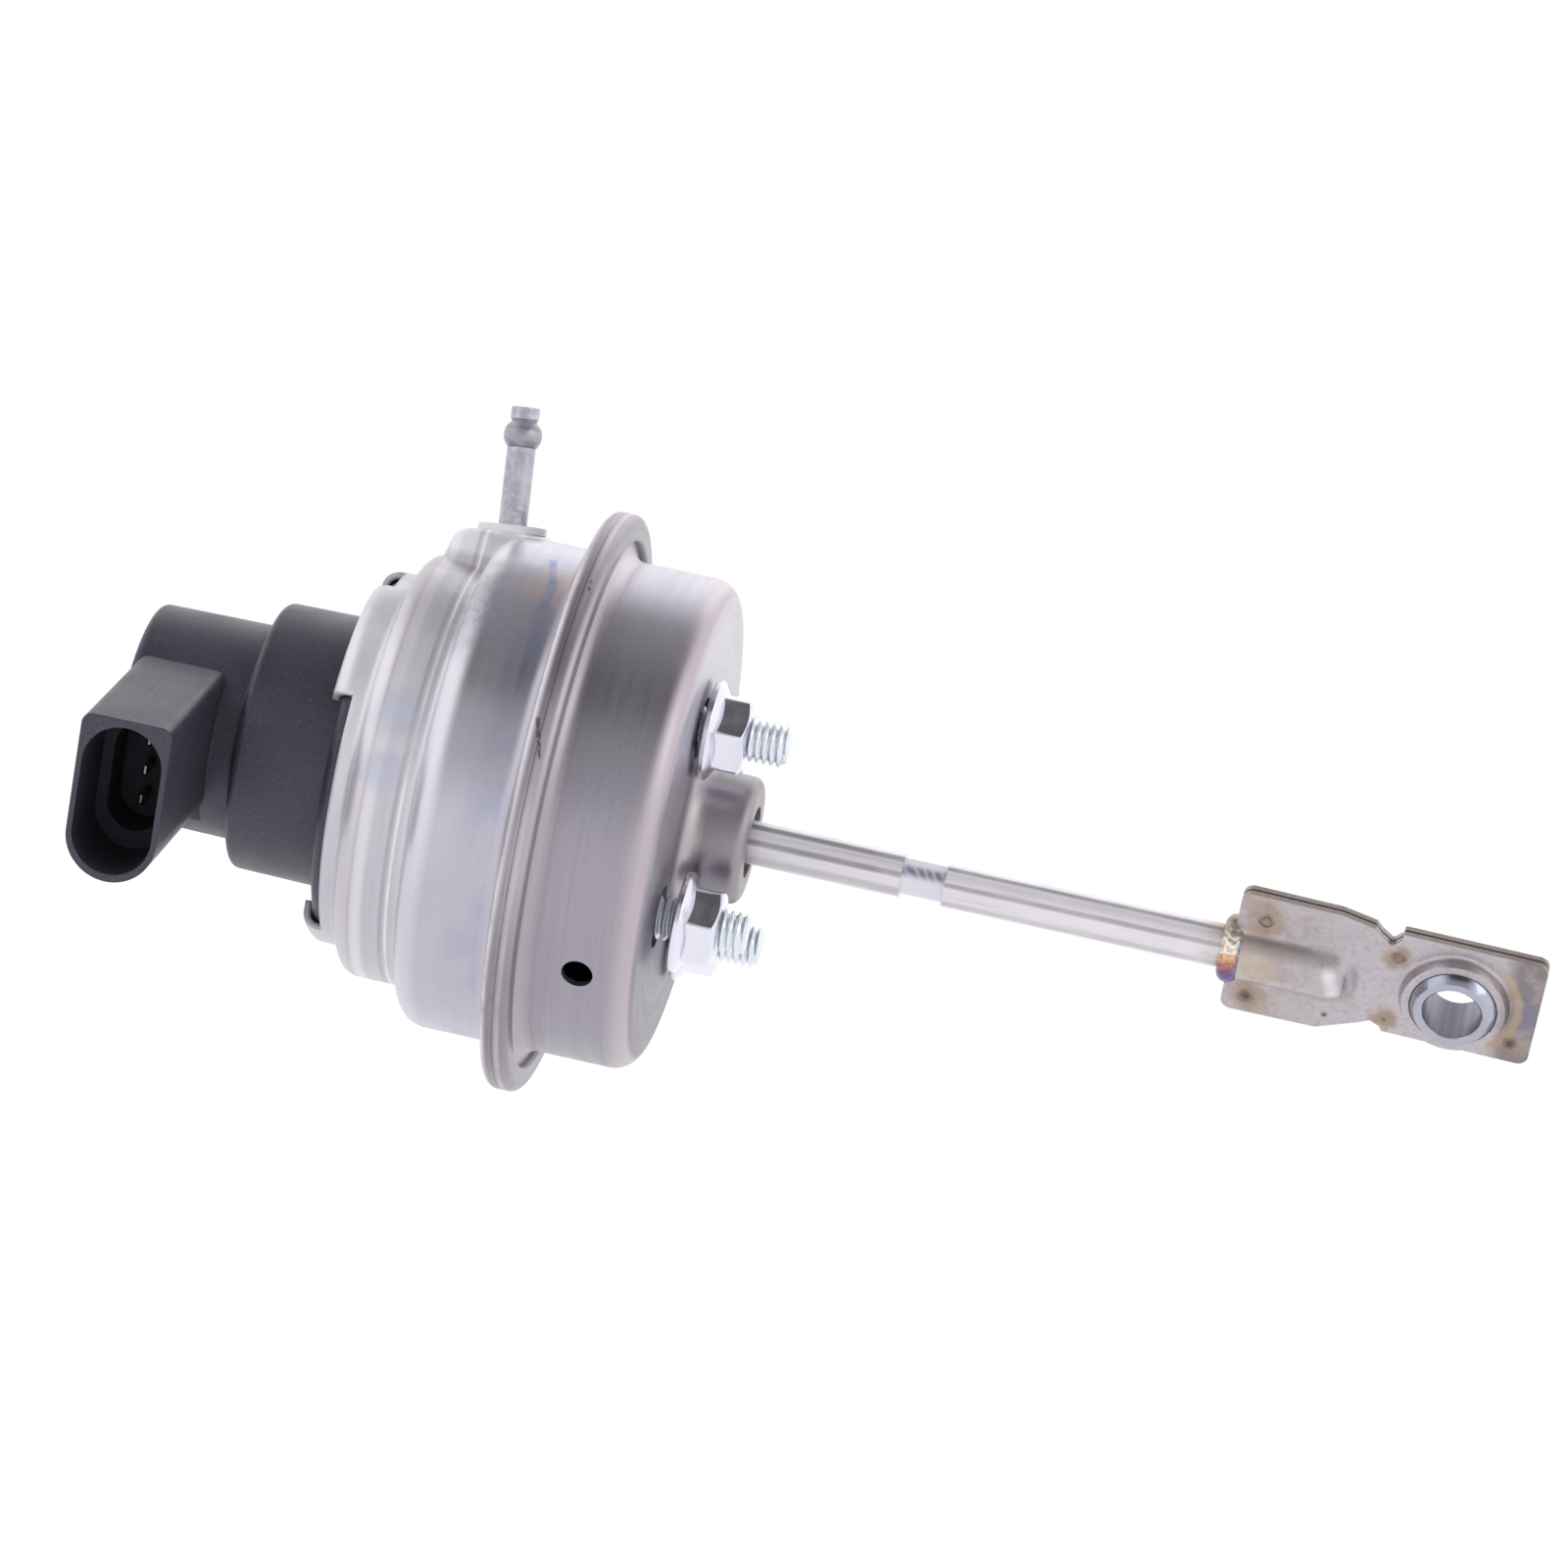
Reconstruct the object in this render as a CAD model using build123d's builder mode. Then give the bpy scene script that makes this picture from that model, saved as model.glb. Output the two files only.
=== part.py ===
# Vacuum wastegate actuator with a position sensor.
# Millimetres. The origin is the centre of the front mounting face, +X runs along the rod
# towards the rod end, and +Z runs along the vacuum nipple.
from math import cos, radians, sin, tan
import os
from build123d import *

os.makedirs("parts", exist_ok=True)

# Fits and clearances
running_gap = 0.06
ball_gap = 0.08
seat_gap = 0.05
thread_gap = 0.05
fit_tolerance = 0.02

# Radii of the case, each from the one inside it
front_sheet = 1.0
rear_sheet = 0.9
housing_flange_radius = 24.9
housing_gap = 0.3
seat_step = 3.6
shoulder_step = 4.8
can_step = 0.2
rim_width = 6.2
lip_width = 3.5
tab_reach = 3.8
collar_radius = housing_flange_radius + housing_gap + rear_sheet
neck_radius = collar_radius + seat_step
shoulder_radius = neck_radius + shoulder_step
can_radius = shoulder_radius - can_step
rim_radius = can_radius + rim_width
lip_inner_radius = rim_radius - lip_width
tab_end_radius = collar_radius - tab_reach

# Front can
face_corner = 3.5
flange_root = 2.5
hub_radius = 8.9
hub_length = 8.9
hub_root = 3.0
hub_lip = 1.5
hub_opening_radius = 5.0
vent_radius = 2.15
vent_x = -7.4
vent_angle = 129.6

# Rolled rim
rim_front_x = -15.2
rim_edge = 1.2
diaphragm_thickness = 1.0
front_flange_x = rim_front_x - rear_sheet
diaphragm_front_x = front_flange_x - front_sheet - seat_gap
rear_flange_x = diaphragm_front_x - diaphragm_thickness - seat_gap
rim_rear_x = rear_flange_x - rear_sheet
clamp_gap = 0.3
clamped_radius = rim_radius - rear_sheet - clamp_gap

# Rear can
shoulder_root = 2.0
shoulder_edge = 3.5
step_x = -33.2
step_root = 0.8
neck_edge = 2.6
seat_face_x = -42.7
collar_root = 1.0
collar_end_x = -45.2
tab_bend = 2.4
tab_end_x = -48.4
tab_knee_x = -48.0
slot_starts = (8.0, 72.0, 205.0, 286.5)
slot_ends = (25.0, 158.0, 239.5, 320.0)

# Vacuum nipple and the raised pad that carries it
nipple_lean = 5.9
pad_offset = 0.5
pad_drop = 0.1
pad_x = step_x + pad_offset
pad_z = shoulder_radius - pad_drop
pad_radius = 6.4
pad_draft = 22.0
pad_edge = 2.1
pad_depth = 7.0
pad_foot_radius = pad_radius + pad_depth * tan(radians(pad_draft))
pad_shift = -1.0
nipple_flange_radius = 4.75
nipple_flange_height = 1.0
stem_radius = 1.97
stem_height = 10.9
barb_radius = 2.65
barb_height = 3.5
groove_radius = 1.75
groove_height = 0.35
tip_radius = 1.95
tip_height = 1.65
nipple_bore_radius = 1.2
spigot_radius = 2.3
spigot_length = 1.8

# Studs and flange nuts
stud_radius = 3.0
stud_circle_radius = 17.0
stud_angles = (36.0, 137.0, 214.0)
stud_end_x = 12.2
stud_chamfer = 0.6
stud_head_radius = 4.4
stud_head_height = 1.6
stud_hole_radius = 4.3
nut_seats_x = (0.8, 2.6, 0.8)
nut_across_flats = 10.0
nut_height = 5.9
nut_flange_radius = 6.95
nut_flange_height = 1.1
nut_cone_height = 2.1
nut_turns = (58.0, 14.0, 40.0)
plate_thickness = 2.0
plate_margin = 6.0
plate_inner_radius = hub_radius + hub_root + seat_gap
plate_outer_radius = stud_circle_radius + plate_margin

# Rod and its guide bush
rod_radius = 3.0
rod_neck_start_x = 30.1
rod_neck_end_x = 36.1
rod_neck_radius = 2.45
rod_flat_half_width = 2.1
rod_shoulder_x = -6.4
rod_thread_radius = 2.5
rod_thread_end_x = -19.0
bush_flange_gap = 0.6
bush_flange_radius = plate_inner_radius - bush_flange_gap
bush_rear_x = -front_sheet - plate_thickness
bush_flange_thickness = 1.9
bush_recess_radius = 4.9
bush_recess_depth = 3.0
bush_chamfer = 0.6

# Piston, diaphragm and spring
piston_sheet = 1.2
wall_gap = 0.2
fold_width = 7.6
diaphragm_wall_radius = can_radius - front_sheet - wall_gap
piston_cup_radius = diaphragm_wall_radius - fold_width
piston_plate_step = 3.5
piston_plate_radius = piston_cup_radius - piston_plate_step
piston_cup_end_x = -22.0
piston_cup_corner = 2.2
diaphragm_fold_x = -25.0
diaphragm_fold_radius = 3.2
diaphragm_corner = 1.4
piston_nut_across_flats = 8.0
piston_nut_height = 4.0
spring_inset = 4.0
spring_mean_radius = piston_cup_radius - spring_inset
spring_wire_radius = 1.5
spring_turns = 5.0
spring_rise = 0.02

# Spring seat
seat_sheet = 1.2
seat_outer_radius = neck_radius - neck_edge - seat_gap
collar_gap = 0.6
seat_collar_radius = spring_mean_radius - spring_wire_radius - collar_gap
seat_collar_end_x = -36.6
seat_corner = 1.8

# Sensor housing
housing_flange_rear_x = -47.0
housing_flange_edge = 1.6
housing_flange_width = 6.0
housing_front_step = 3.8
housing_front_draft = 0.25
housing_rear_draft = 0.25
housing_front_radius = housing_flange_radius - housing_flange_width
housing_front_end_x = -60.8
housing_front_end_radius = housing_front_radius - housing_front_draft
housing_rear_radius = housing_front_radius - housing_front_step
housing_end_x = -78.0
housing_end_radius = housing_rear_radius - housing_rear_draft
housing_edge = 1.1
housing_root = 0.8
housing_bore_radius = 5.6
housing_bore_end_x = -71.0
groove_depth = 1.4
groove_width = 2.2
groove_centre_x = -43.8
seal_squeeze = 0.02

# Connector socket
socket_angle = 18.0
socket_x = -70.8
socket_reach = 40.2
socket_width = 12.4
socket_half_height = 11.35
socket_corner = 1.5
socket_end_radius = socket_width / 2
socket_root_distance = 11.2
mouth_length = 20.6
mouth_width = 10.9
mouth_depth = 12.0
well_length = 15.6
well_width = 7.8
well_depth = 19.0

# Terminals and sensor board
pin_pitch = 4.2
pin_width = 0.65
pin_thickness = 1.5
pin_tip_depth = 15.0
pin_tip_chamfer = 0.2
board_distance = 9.4
board_thickness = 1.2
board_width = 13.0
board_rear_x = -75.4
board_front_x = -48.0
pocket_margin = 0.4
board_rise = 0.9
sensor_x = -57.0
sensor_length = 4.2
sensor_width = 3.4
sensor_height = 1.5

# Magnet and its carrier
carrier_radius = 4.6
carrier_stem_radius = 3.6
carrier_front_radius = 5.2
carrier_front_length = 8.0
carrier_end_x = -57.5
carrier_head_start_x = -46.0
magnet_radius = 3.2
magnet_length = 7.0

# Rod end plates and bearing
plate_turn = 38.5
end_sheet = 1.0
end_plate_outline = (
    (76.2, 10.7), (89.8, 10.4), (94.6, 9.35), (95.4, 8.4),
    (97.1, 7.1), (98.35, 8.35), (98.4, 9.4), (118.4, 9.1),
    (118.2, -8.3), (98.05, -7.8), (97.65, -7.05),
    (96.2, -6.4), (94.95, -7.1), (89.1, -9.6), (75.8, -9.6),
)
plate_corner = 1.5
notch_corner = 0.25
channel_gap = 0.1
channel_centre_x = 89.7
channel_root = 0.8
bearing_x = 106.9
ball_radius = 6.5
ball_half_width = 4.0
ball_bore_radius = 4.0
ball_chamfer = 0.25
race_height = 2.7
collar_fillet = 0.5
weld_start_x = 74.5
weld_end_x = 77.3
weld_crown_radius = 4.75

# Directions
nipple_plane = Plane(
    origin=(pad_x, 0, pad_z),
    x_dir=(cos(radians(nipple_lean)), 0, sin(radians(nipple_lean))),
    z_dir=(-sin(radians(nipple_lean)), 0, cos(radians(nipple_lean))),
)
socket_direction = Vector(0, -cos(radians(socket_angle)), -sin(radians(socket_angle)))
mouth_plane = Plane(
    origin=Vector(socket_x, 0, 0) + socket_direction * socket_reach,
    x_dir=(1, 0, 0),
    z_dir=socket_direction,
)
end_normal = Vector(0, -cos(radians(plate_turn)), -sin(radians(plate_turn)))
end_plane = Plane(origin=(0, 0, 0), x_dir=(1, 0, 0), z_dir=end_normal)
bearing_plane = Plane(origin=(bearing_x, 0, 0), x_dir=(1, 0, 0), z_dir=end_normal)


def around(radius, angle, x=0.0):
    """A point at a radius and an angle from +Z towards -Y."""
    return (x, -radius * sin(radians(angle)), radius * cos(radians(angle)))


def cross_plane(x, turn=0.0):
    """A plane across the axis at x, its own X axis turned from +Z towards -Y."""
    across = (0, -sin(radians(turn)), cos(radians(turn)))
    return Plane(origin=(x, 0, 0), x_dir=across, z_dir=(1, 0, 0))


def stud_plane(index, x):
    """A plane across one stud at x."""
    angle = stud_angles[index]
    return Plane(
        origin=around(stud_circle_radius, angle, x),
        x_dir=(0, -sin(radians(angle)), cos(radians(angle))),
        z_dir=(1, 0, 0),
    )


def sheet_outline(path, bends, sheet):
    """Draw the closed outline of bent sheet: a path, its bends, and a second path beside it.

    A positive sheet lies on the left of the path, a negative one on its right.
    """
    outer = [Vector(*point) for point in path]
    runs = [(b - a).normalized() for a, b in zip(outer, outer[1:])]
    sides = [Vector(-run.Y, run.X) for run in runs]
    inner = [outer[0] + sides[0] * sheet]
    inner_bends = []
    for corner, bend, before, after, run_in, run_out in zip(
        outer[1:], bends, sides, sides[1:], runs, runs[1:]
    ):
        inner.append(corner + (before + after) * (sheet / (1 + before.dot(after))))
        turn = run_in.X * run_out.Y - run_in.Y * run_out.X
        inner_bends.append(bend - sheet if turn > 0 else bend + sheet)
    inner.append(outer[-1] + sides[-1] * sheet)
    radii = [0, *bends, 0, 0, *reversed(inner_bends), 0]
    FilletPolyline(*outer, *reversed(inner), radius=radii, close=True)


# Front can: a drawn cup with a flange, a hub for the rod, three stud holes and a vent
with BuildPart() as front_can:
    with BuildSketch(Plane.XZ):
        with BuildLine():
            sheet_outline(
                (
                    (front_flange_x, clamped_radius),
                    (front_flange_x, can_radius),
                    (0, can_radius),
                    (0, hub_radius),
                    (hub_length, hub_radius),
                    (hub_length, hub_opening_radius),
                ),
                (flange_root, face_corner, hub_root, hub_lip),
                -front_sheet,
            )
        make_face()
    revolve(axis=Axis.X)
    for index in range(len(stud_angles)):
        with BuildSketch(stud_plane(index, 0)):
            Circle(stud_hole_radius)
        extrude(amount=front_sheet + hub_lip, both=True, mode=Mode.SUBTRACT)
    vent_plane = Plane(
        origin=(vent_x, 0, 0),
        x_dir=(1, 0, 0),
        z_dir=(0, -sin(radians(vent_angle)), cos(radians(vent_angle))),
    )
    with BuildSketch(vent_plane):
        Circle(vent_radius)
    extrude(amount=rim_radius, mode=Mode.SUBTRACT)
front_can.part.label = "front_can"
export_step(front_can.part, "parts/front_can.step")

# Rear can: stepped sheet, its flange rolled over the rim and four tabs bent inwards
with BuildPart() as rear_can:
    with BuildSketch(Plane.XZ):
        with BuildLine():
            sheet_outline(
                (
                    (rim_front_x, lip_inner_radius),
                    (rim_front_x, rim_radius),
                    (rim_rear_x, rim_radius),
                    (rim_rear_x, shoulder_radius),
                    (step_x, shoulder_radius),
                    (step_x, neck_radius),
                    (seat_face_x, neck_radius),
                    (seat_face_x, collar_radius),
                    (tab_knee_x, collar_radius),
                    (tab_end_x, tab_end_radius),
                ),
                (
                    rim_edge, rim_edge, shoulder_root, shoulder_edge,
                    step_root, neck_edge, collar_root, tab_bend,
                ),
                rear_sheet,
            )
        make_face()
    revolve(axis=Axis.X)
    for start, end in zip(slot_starts, slot_ends):
        with BuildSketch(cross_plane(collar_end_x, start)):
            with BuildLine():
                far = rim_radius / cos(radians((end - start) / 2))
                Polyline(
                    (0, 0),
                    (far, 0),
                    (far * cos(radians((end - start) / 2)), far * sin(radians((end - start) / 2))),
                    (far * cos(radians(end - start)), far * sin(radians(end - start))),
                    close=True,
                )
            make_face()
        extrude(amount=-socket_width, mode=Mode.SUBTRACT)
    with BuildSketch(nipple_plane.offset(-pad_depth)):
        with Locations((pad_shift, 0)):
            Circle(pad_foot_radius)
    extrude(amount=pad_depth, taper=pad_draft)
    pad_top = rear_can.faces().sort_by(Axis.Z)[-1]
    fillet(pad_top.edges(), radius=pad_edge)
    with BuildSketch(nipple_plane.offset(-pad_depth)):
        with Locations((pad_shift, 0)):
            Circle(pad_foot_radius - rear_sheet / cos(radians(pad_draft)))
    extrude(amount=pad_depth - rear_sheet, taper=pad_draft, mode=Mode.SUBTRACT)
    with BuildSketch(Plane.XZ):
        with BuildLine():
            FilletPolyline(
                (rear_flange_x, 0),
                (rear_flange_x, shoulder_radius - rear_sheet),
                (step_x + rear_sheet, shoulder_radius - rear_sheet),
                (step_x + rear_sheet, neck_radius - rear_sheet),
                (seat_face_x + rear_sheet, neck_radius - rear_sheet),
                (seat_face_x + rear_sheet, 0),
                radius=(
                    0, 0, shoulder_edge - rear_sheet, step_root + rear_sheet,
                    neck_edge - rear_sheet, 0,
                ),
                close=True,
            )
        make_face()
    revolve(axis=Axis.X, mode=Mode.SUBTRACT)
    with BuildSketch(nipple_plane):
        Circle(spigot_radius + seat_gap)
    extrude(amount=-pad_depth, mode=Mode.SUBTRACT)
rear_can.part.label = "rear_can"
export_step(rear_can.part, "parts/rear_can.step")

# Vacuum nipple: turned in one piece with its flange, swaged through the pad
nipple_profile_plane = Plane(
    origin=nipple_plane.origin,
    x_dir=nipple_plane.x_dir,
    z_dir=nipple_plane.y_dir * -1,
)
barb_base = nipple_flange_height + stem_height
tip_base = barb_base + barb_height + groove_height
nipple_top = tip_base + tip_height
with BuildPart() as vacuum_nipple:
    with BuildSketch(nipple_profile_plane):
        with BuildLine():
            Polyline(
                (nipple_bore_radius, -spigot_length),
                (spigot_radius, -spigot_length),
                (spigot_radius, 0),
                (nipple_flange_radius, 0),
                (nipple_flange_radius, nipple_flange_height),
                (stem_radius, nipple_flange_height),
                (stem_radius, barb_base),
            )
            ThreePointArc(
                (stem_radius, barb_base),
                (barb_radius, barb_base + barb_height / 2),
                (groove_radius, barb_base + barb_height),
            )
            Polyline(
                (groove_radius, barb_base + barb_height),
                (groove_radius, tip_base),
                (tip_radius, tip_base),
                (tip_radius, nipple_top),
                (nipple_bore_radius, nipple_top),
                (nipple_bore_radius, -spigot_length),
            )
        make_face()
    revolve(axis=Axis(nipple_plane.origin, nipple_plane.z_dir))
vacuum_nipple.part.label = "vacuum_nipple"
export_step(vacuum_nipple.part, "parts/vacuum_nipple.step")

# Stud plate: flat ring welded behind the front face
with BuildPart() as stud_plate:
    with BuildSketch(cross_plane(-front_sheet)):
        Circle(plate_outer_radius)
        Circle(plate_inner_radius, mode=Mode.SUBTRACT)
    extrude(amount=-plate_thickness)
    for index in range(len(stud_angles)):
        with BuildSketch(stud_plane(index, -front_sheet)):
            Circle(stud_radius + thread_gap)
        extrude(amount=-plate_thickness, mode=Mode.SUBTRACT)
stud_plate.part.label = "stud_plate"
export_step(stud_plate.part, "parts/stud_plate.step")

# Mounting studs: three headed studs
stud_seat_x = -front_sheet - plate_thickness
with BuildPart() as mounting_studs:
    for index in range(len(stud_angles)):
        with BuildSketch(stud_plane(index, stud_seat_x)):
            Circle(stud_radius)
        extrude(amount=stud_end_x - stud_seat_x)
        with BuildSketch(stud_plane(index, stud_seat_x)):
            Circle(stud_head_radius)
        extrude(amount=-stud_head_height)
    stud_tips = mounting_studs.edges().group_by(Axis.X)[-1]
    chamfer(stud_tips, length=stud_chamfer)
mounting_studs.part.label = "mounting_studs"
export_step(mounting_studs.part, "parts/mounting_studs.step")

# Flange nuts: hexagon standing on a coned flange
with BuildPart() as flange_nuts:
    for index, seat_x in enumerate(nut_seats_x):
        nut_plane = stud_plane(index, seat_x)
        with BuildSketch(nut_plane):
            RegularPolygon(
                nut_across_flats / 2, 6, major_radius=False, rotation=nut_turns[index]
            )
        extrude(amount=nut_height)
        with BuildSketch(nut_plane):
            Circle(nut_flange_radius)
        extrude(amount=nut_flange_height)
        with BuildSketch(nut_plane.offset(nut_flange_height)):
            Circle(nut_flange_radius)
        with BuildSketch(nut_plane.offset(nut_cone_height)):
            Circle(nut_across_flats / 2)
        loft()
        with BuildSketch(nut_plane):
            Circle(stud_radius + thread_gap)
        extrude(amount=nut_height, mode=Mode.SUBTRACT)
flange_nuts.part.label = "flange_nuts"
export_step(flange_nuts.part, "parts/flange_nuts.step")

# Rod bush: plain guide held in the hub
bush_radius = hub_radius - front_sheet - seat_gap
bush_front_x = hub_length - front_sheet - seat_gap
with BuildPart() as rod_bush:
    with BuildSketch(Plane.XZ):
        with BuildLine():
            Polyline(
                (bush_rear_x, rod_radius + running_gap),
                (bush_rear_x, bush_flange_radius),
                (bush_rear_x + bush_flange_thickness, bush_flange_radius),
                (bush_rear_x + bush_flange_thickness, bush_radius),
                (bush_front_x - bush_chamfer, bush_radius),
                (bush_front_x, bush_radius - bush_chamfer),
                (bush_front_x, bush_recess_radius),
                (bush_front_x - bush_recess_depth, bush_recess_radius),
                (bush_front_x - bush_recess_depth, rod_radius + running_gap),
                close=True,
            )
        make_face()
    revolve(axis=Axis.X)
rod_bush.part.label = "rod_bush"
export_step(rod_bush.part, "parts/rod_bush.step")

# Actuator rod: turned shoulder and thread at the piston, flats for a spanner, round end
rod_end_x = channel_centre_x + rod_radius
with BuildPart() as actuator_rod:
    with BuildSketch(cross_plane(rod_shoulder_x)):
        Circle(rod_radius)
    extrude(amount=rod_end_x - rod_shoulder_x)
    rod_tip = actuator_rod.edges().group_by(Axis.X)[-1]
    fillet(rod_tip, radius=rod_radius - running_gap)
    with BuildSketch(cross_plane(rod_thread_end_x)):
        Circle(rod_thread_radius)
    extrude(amount=rod_shoulder_x - rod_thread_end_x)
    neck_length = rod_neck_end_x - rod_neck_start_x
    with BuildSketch(cross_plane(rod_neck_start_x)):
        Circle(rod_radius + running_gap)
        Circle(rod_neck_radius, mode=Mode.SUBTRACT)
    extrude(amount=neck_length, mode=Mode.SUBTRACT)
    with BuildSketch(cross_plane(rod_neck_start_x, plate_turn)):
        for side in (-1, 1):
            with Locations((side * (rod_flat_half_width + rod_radius / 2), 0)):
                Rectangle(rod_radius, 2 * rod_radius)
    extrude(amount=neck_length, mode=Mode.SUBTRACT)
actuator_rod.part.label = "actuator_rod"
export_step(actuator_rod.part, "parts/actuator_rod.step")

# Piston plate: front washer that clamps the diaphragm
with BuildPart() as piston_plate:
    with BuildSketch(cross_plane(rod_shoulder_x)):
        Circle(piston_plate_radius)
        Circle(rod_thread_radius + seat_gap, mode=Mode.SUBTRACT)
    extrude(amount=-piston_sheet)
    rim_edges = piston_plate.edges().group_by(Axis.X)[-1].sort_by(SortBy.LENGTH)[-1]
    fillet(rim_edges, radius=piston_sheet / 2)
piston_plate.part.label = "piston_plate"
export_step(piston_plate.part, "parts/piston_plate.step")

# Diaphragm: rubber, clamped in the rim, folded back and over the piston cup
disc_front_x = rod_shoulder_x - piston_sheet
sleeve_radius = piston_cup_radius + seat_gap + diaphragm_thickness
with BuildPart() as diaphragm:
    with BuildSketch(Plane.XZ):
        with BuildLine():
            sheet_outline(
                (
                    (diaphragm_front_x, clamped_radius),
                    (diaphragm_front_x, diaphragm_wall_radius - diaphragm_thickness),
                    (diaphragm_fold_x + diaphragm_thickness, diaphragm_wall_radius - diaphragm_thickness),
                    (diaphragm_fold_x + diaphragm_thickness, sleeve_radius),
                    (disc_front_x, sleeve_radius),
                    (disc_front_x, rod_thread_radius + seat_gap),
                ),
                (
                    diaphragm_corner,
                    diaphragm_fold_radius - diaphragm_thickness,
                    diaphragm_fold_radius - diaphragm_thickness,
                    piston_cup_corner + diaphragm_thickness,
                ),
                -diaphragm_thickness,
            )
        make_face()
    revolve(axis=Axis.X)
diaphragm.part.label = "diaphragm"
export_step(diaphragm.part, "parts/diaphragm.step")

# Piston cup: drawn cup behind the diaphragm, holding the spring
cup_front_x = disc_front_x - diaphragm_thickness
with BuildPart() as piston_cup:
    with BuildSketch(Plane.XZ):
        with BuildLine():
            sheet_outline(
                (
                    (piston_cup_end_x, piston_cup_radius),
                    (cup_front_x, piston_cup_radius),
                    (cup_front_x, rod_thread_radius + seat_gap),
                ),
                (piston_cup_corner,) ,
                -piston_sheet,
            )
        make_face()
    revolve(axis=Axis.X)
piston_cup.part.label = "piston_cup"
export_step(piston_cup.part, "parts/piston_cup.step")

# Piston nut
cup_floor_x = cup_front_x - piston_sheet
with BuildPart() as piston_nut:
    with BuildSketch(cross_plane(cup_floor_x)):
        RegularPolygon(piston_nut_across_flats / 2, 6, major_radius=False)
        Circle(rod_thread_radius + thread_gap, mode=Mode.SUBTRACT)
    extrude(amount=-piston_nut_height)
piston_nut.part.label = "piston_nut"
export_step(piston_nut.part, "parts/piston_nut.step")

# Spring seat: sheet ring with a collar that centres the spring
seat_rear_x = seat_face_x + rear_sheet
seat_front_x = seat_rear_x + seat_sheet
with BuildPart() as spring_seat:
    with BuildSketch(Plane.XZ):
        with BuildLine():
            sheet_outline(
                (
                    (seat_front_x, seat_outer_radius),
                    (seat_front_x, seat_collar_radius),
                    (seat_collar_end_x, seat_collar_radius),
                ),
                (seat_corner - seat_sheet,) ,
                -seat_sheet,
            )
        make_face()
    revolve(axis=Axis.X)
spring_seat.part.label = "spring_seat"
export_step(spring_seat.part, "parts/spring_seat.step")

# Return spring: between the piston cup and the spring seat
spring_start_x = seat_front_x + spring_wire_radius + spring_rise
spring_height = cup_floor_x - spring_wire_radius - spring_rise - spring_start_x
with BuildPart() as return_spring:
    with BuildLine() as coil:
        Helix(
            pitch=spring_height / spring_turns,
            height=spring_height,
            radius=spring_mean_radius,
            center=(spring_start_x, 0, 0),
            direction=(1, 0, 0),
        )
    with BuildSketch(Plane(origin=coil.line @ 0, z_dir=coil.line % 0)):
        Circle(spring_wire_radius)
    sweep(is_frenet=True)
return_spring.part.label = "return_spring"
export_step(return_spring.part, "parts/return_spring.step")

# Terminal pins: three blades from the socket to the board
pin_reach = socket_reach - pin_tip_depth
pin_foot = board_distance - board_rise
pin_offsets = (-pin_pitch, 0, pin_pitch)
pin_foot_plane = Plane(
    origin=Vector(socket_x, 0, 0) + socket_direction * pin_foot,
    x_dir=(1, 0, 0),
    z_dir=socket_direction,
)
with BuildPart() as terminal_pins:
    with BuildSketch(pin_foot_plane):
        for pin_offset in pin_offsets:
            with Locations((0, pin_offset)):
                Rectangle(pin_width, pin_thickness)
    extrude(amount=pin_reach - pin_foot)
    pin_tips = terminal_pins.edges().group_by(Axis(origin=(0, 0, 0), direction=socket_direction))[-1]
    chamfer(pin_tips, length=pin_tip_chamfer)
terminal_pins.part.label = "terminal_pins"
export_step(terminal_pins.part, "parts/terminal_pins.step")

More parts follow.
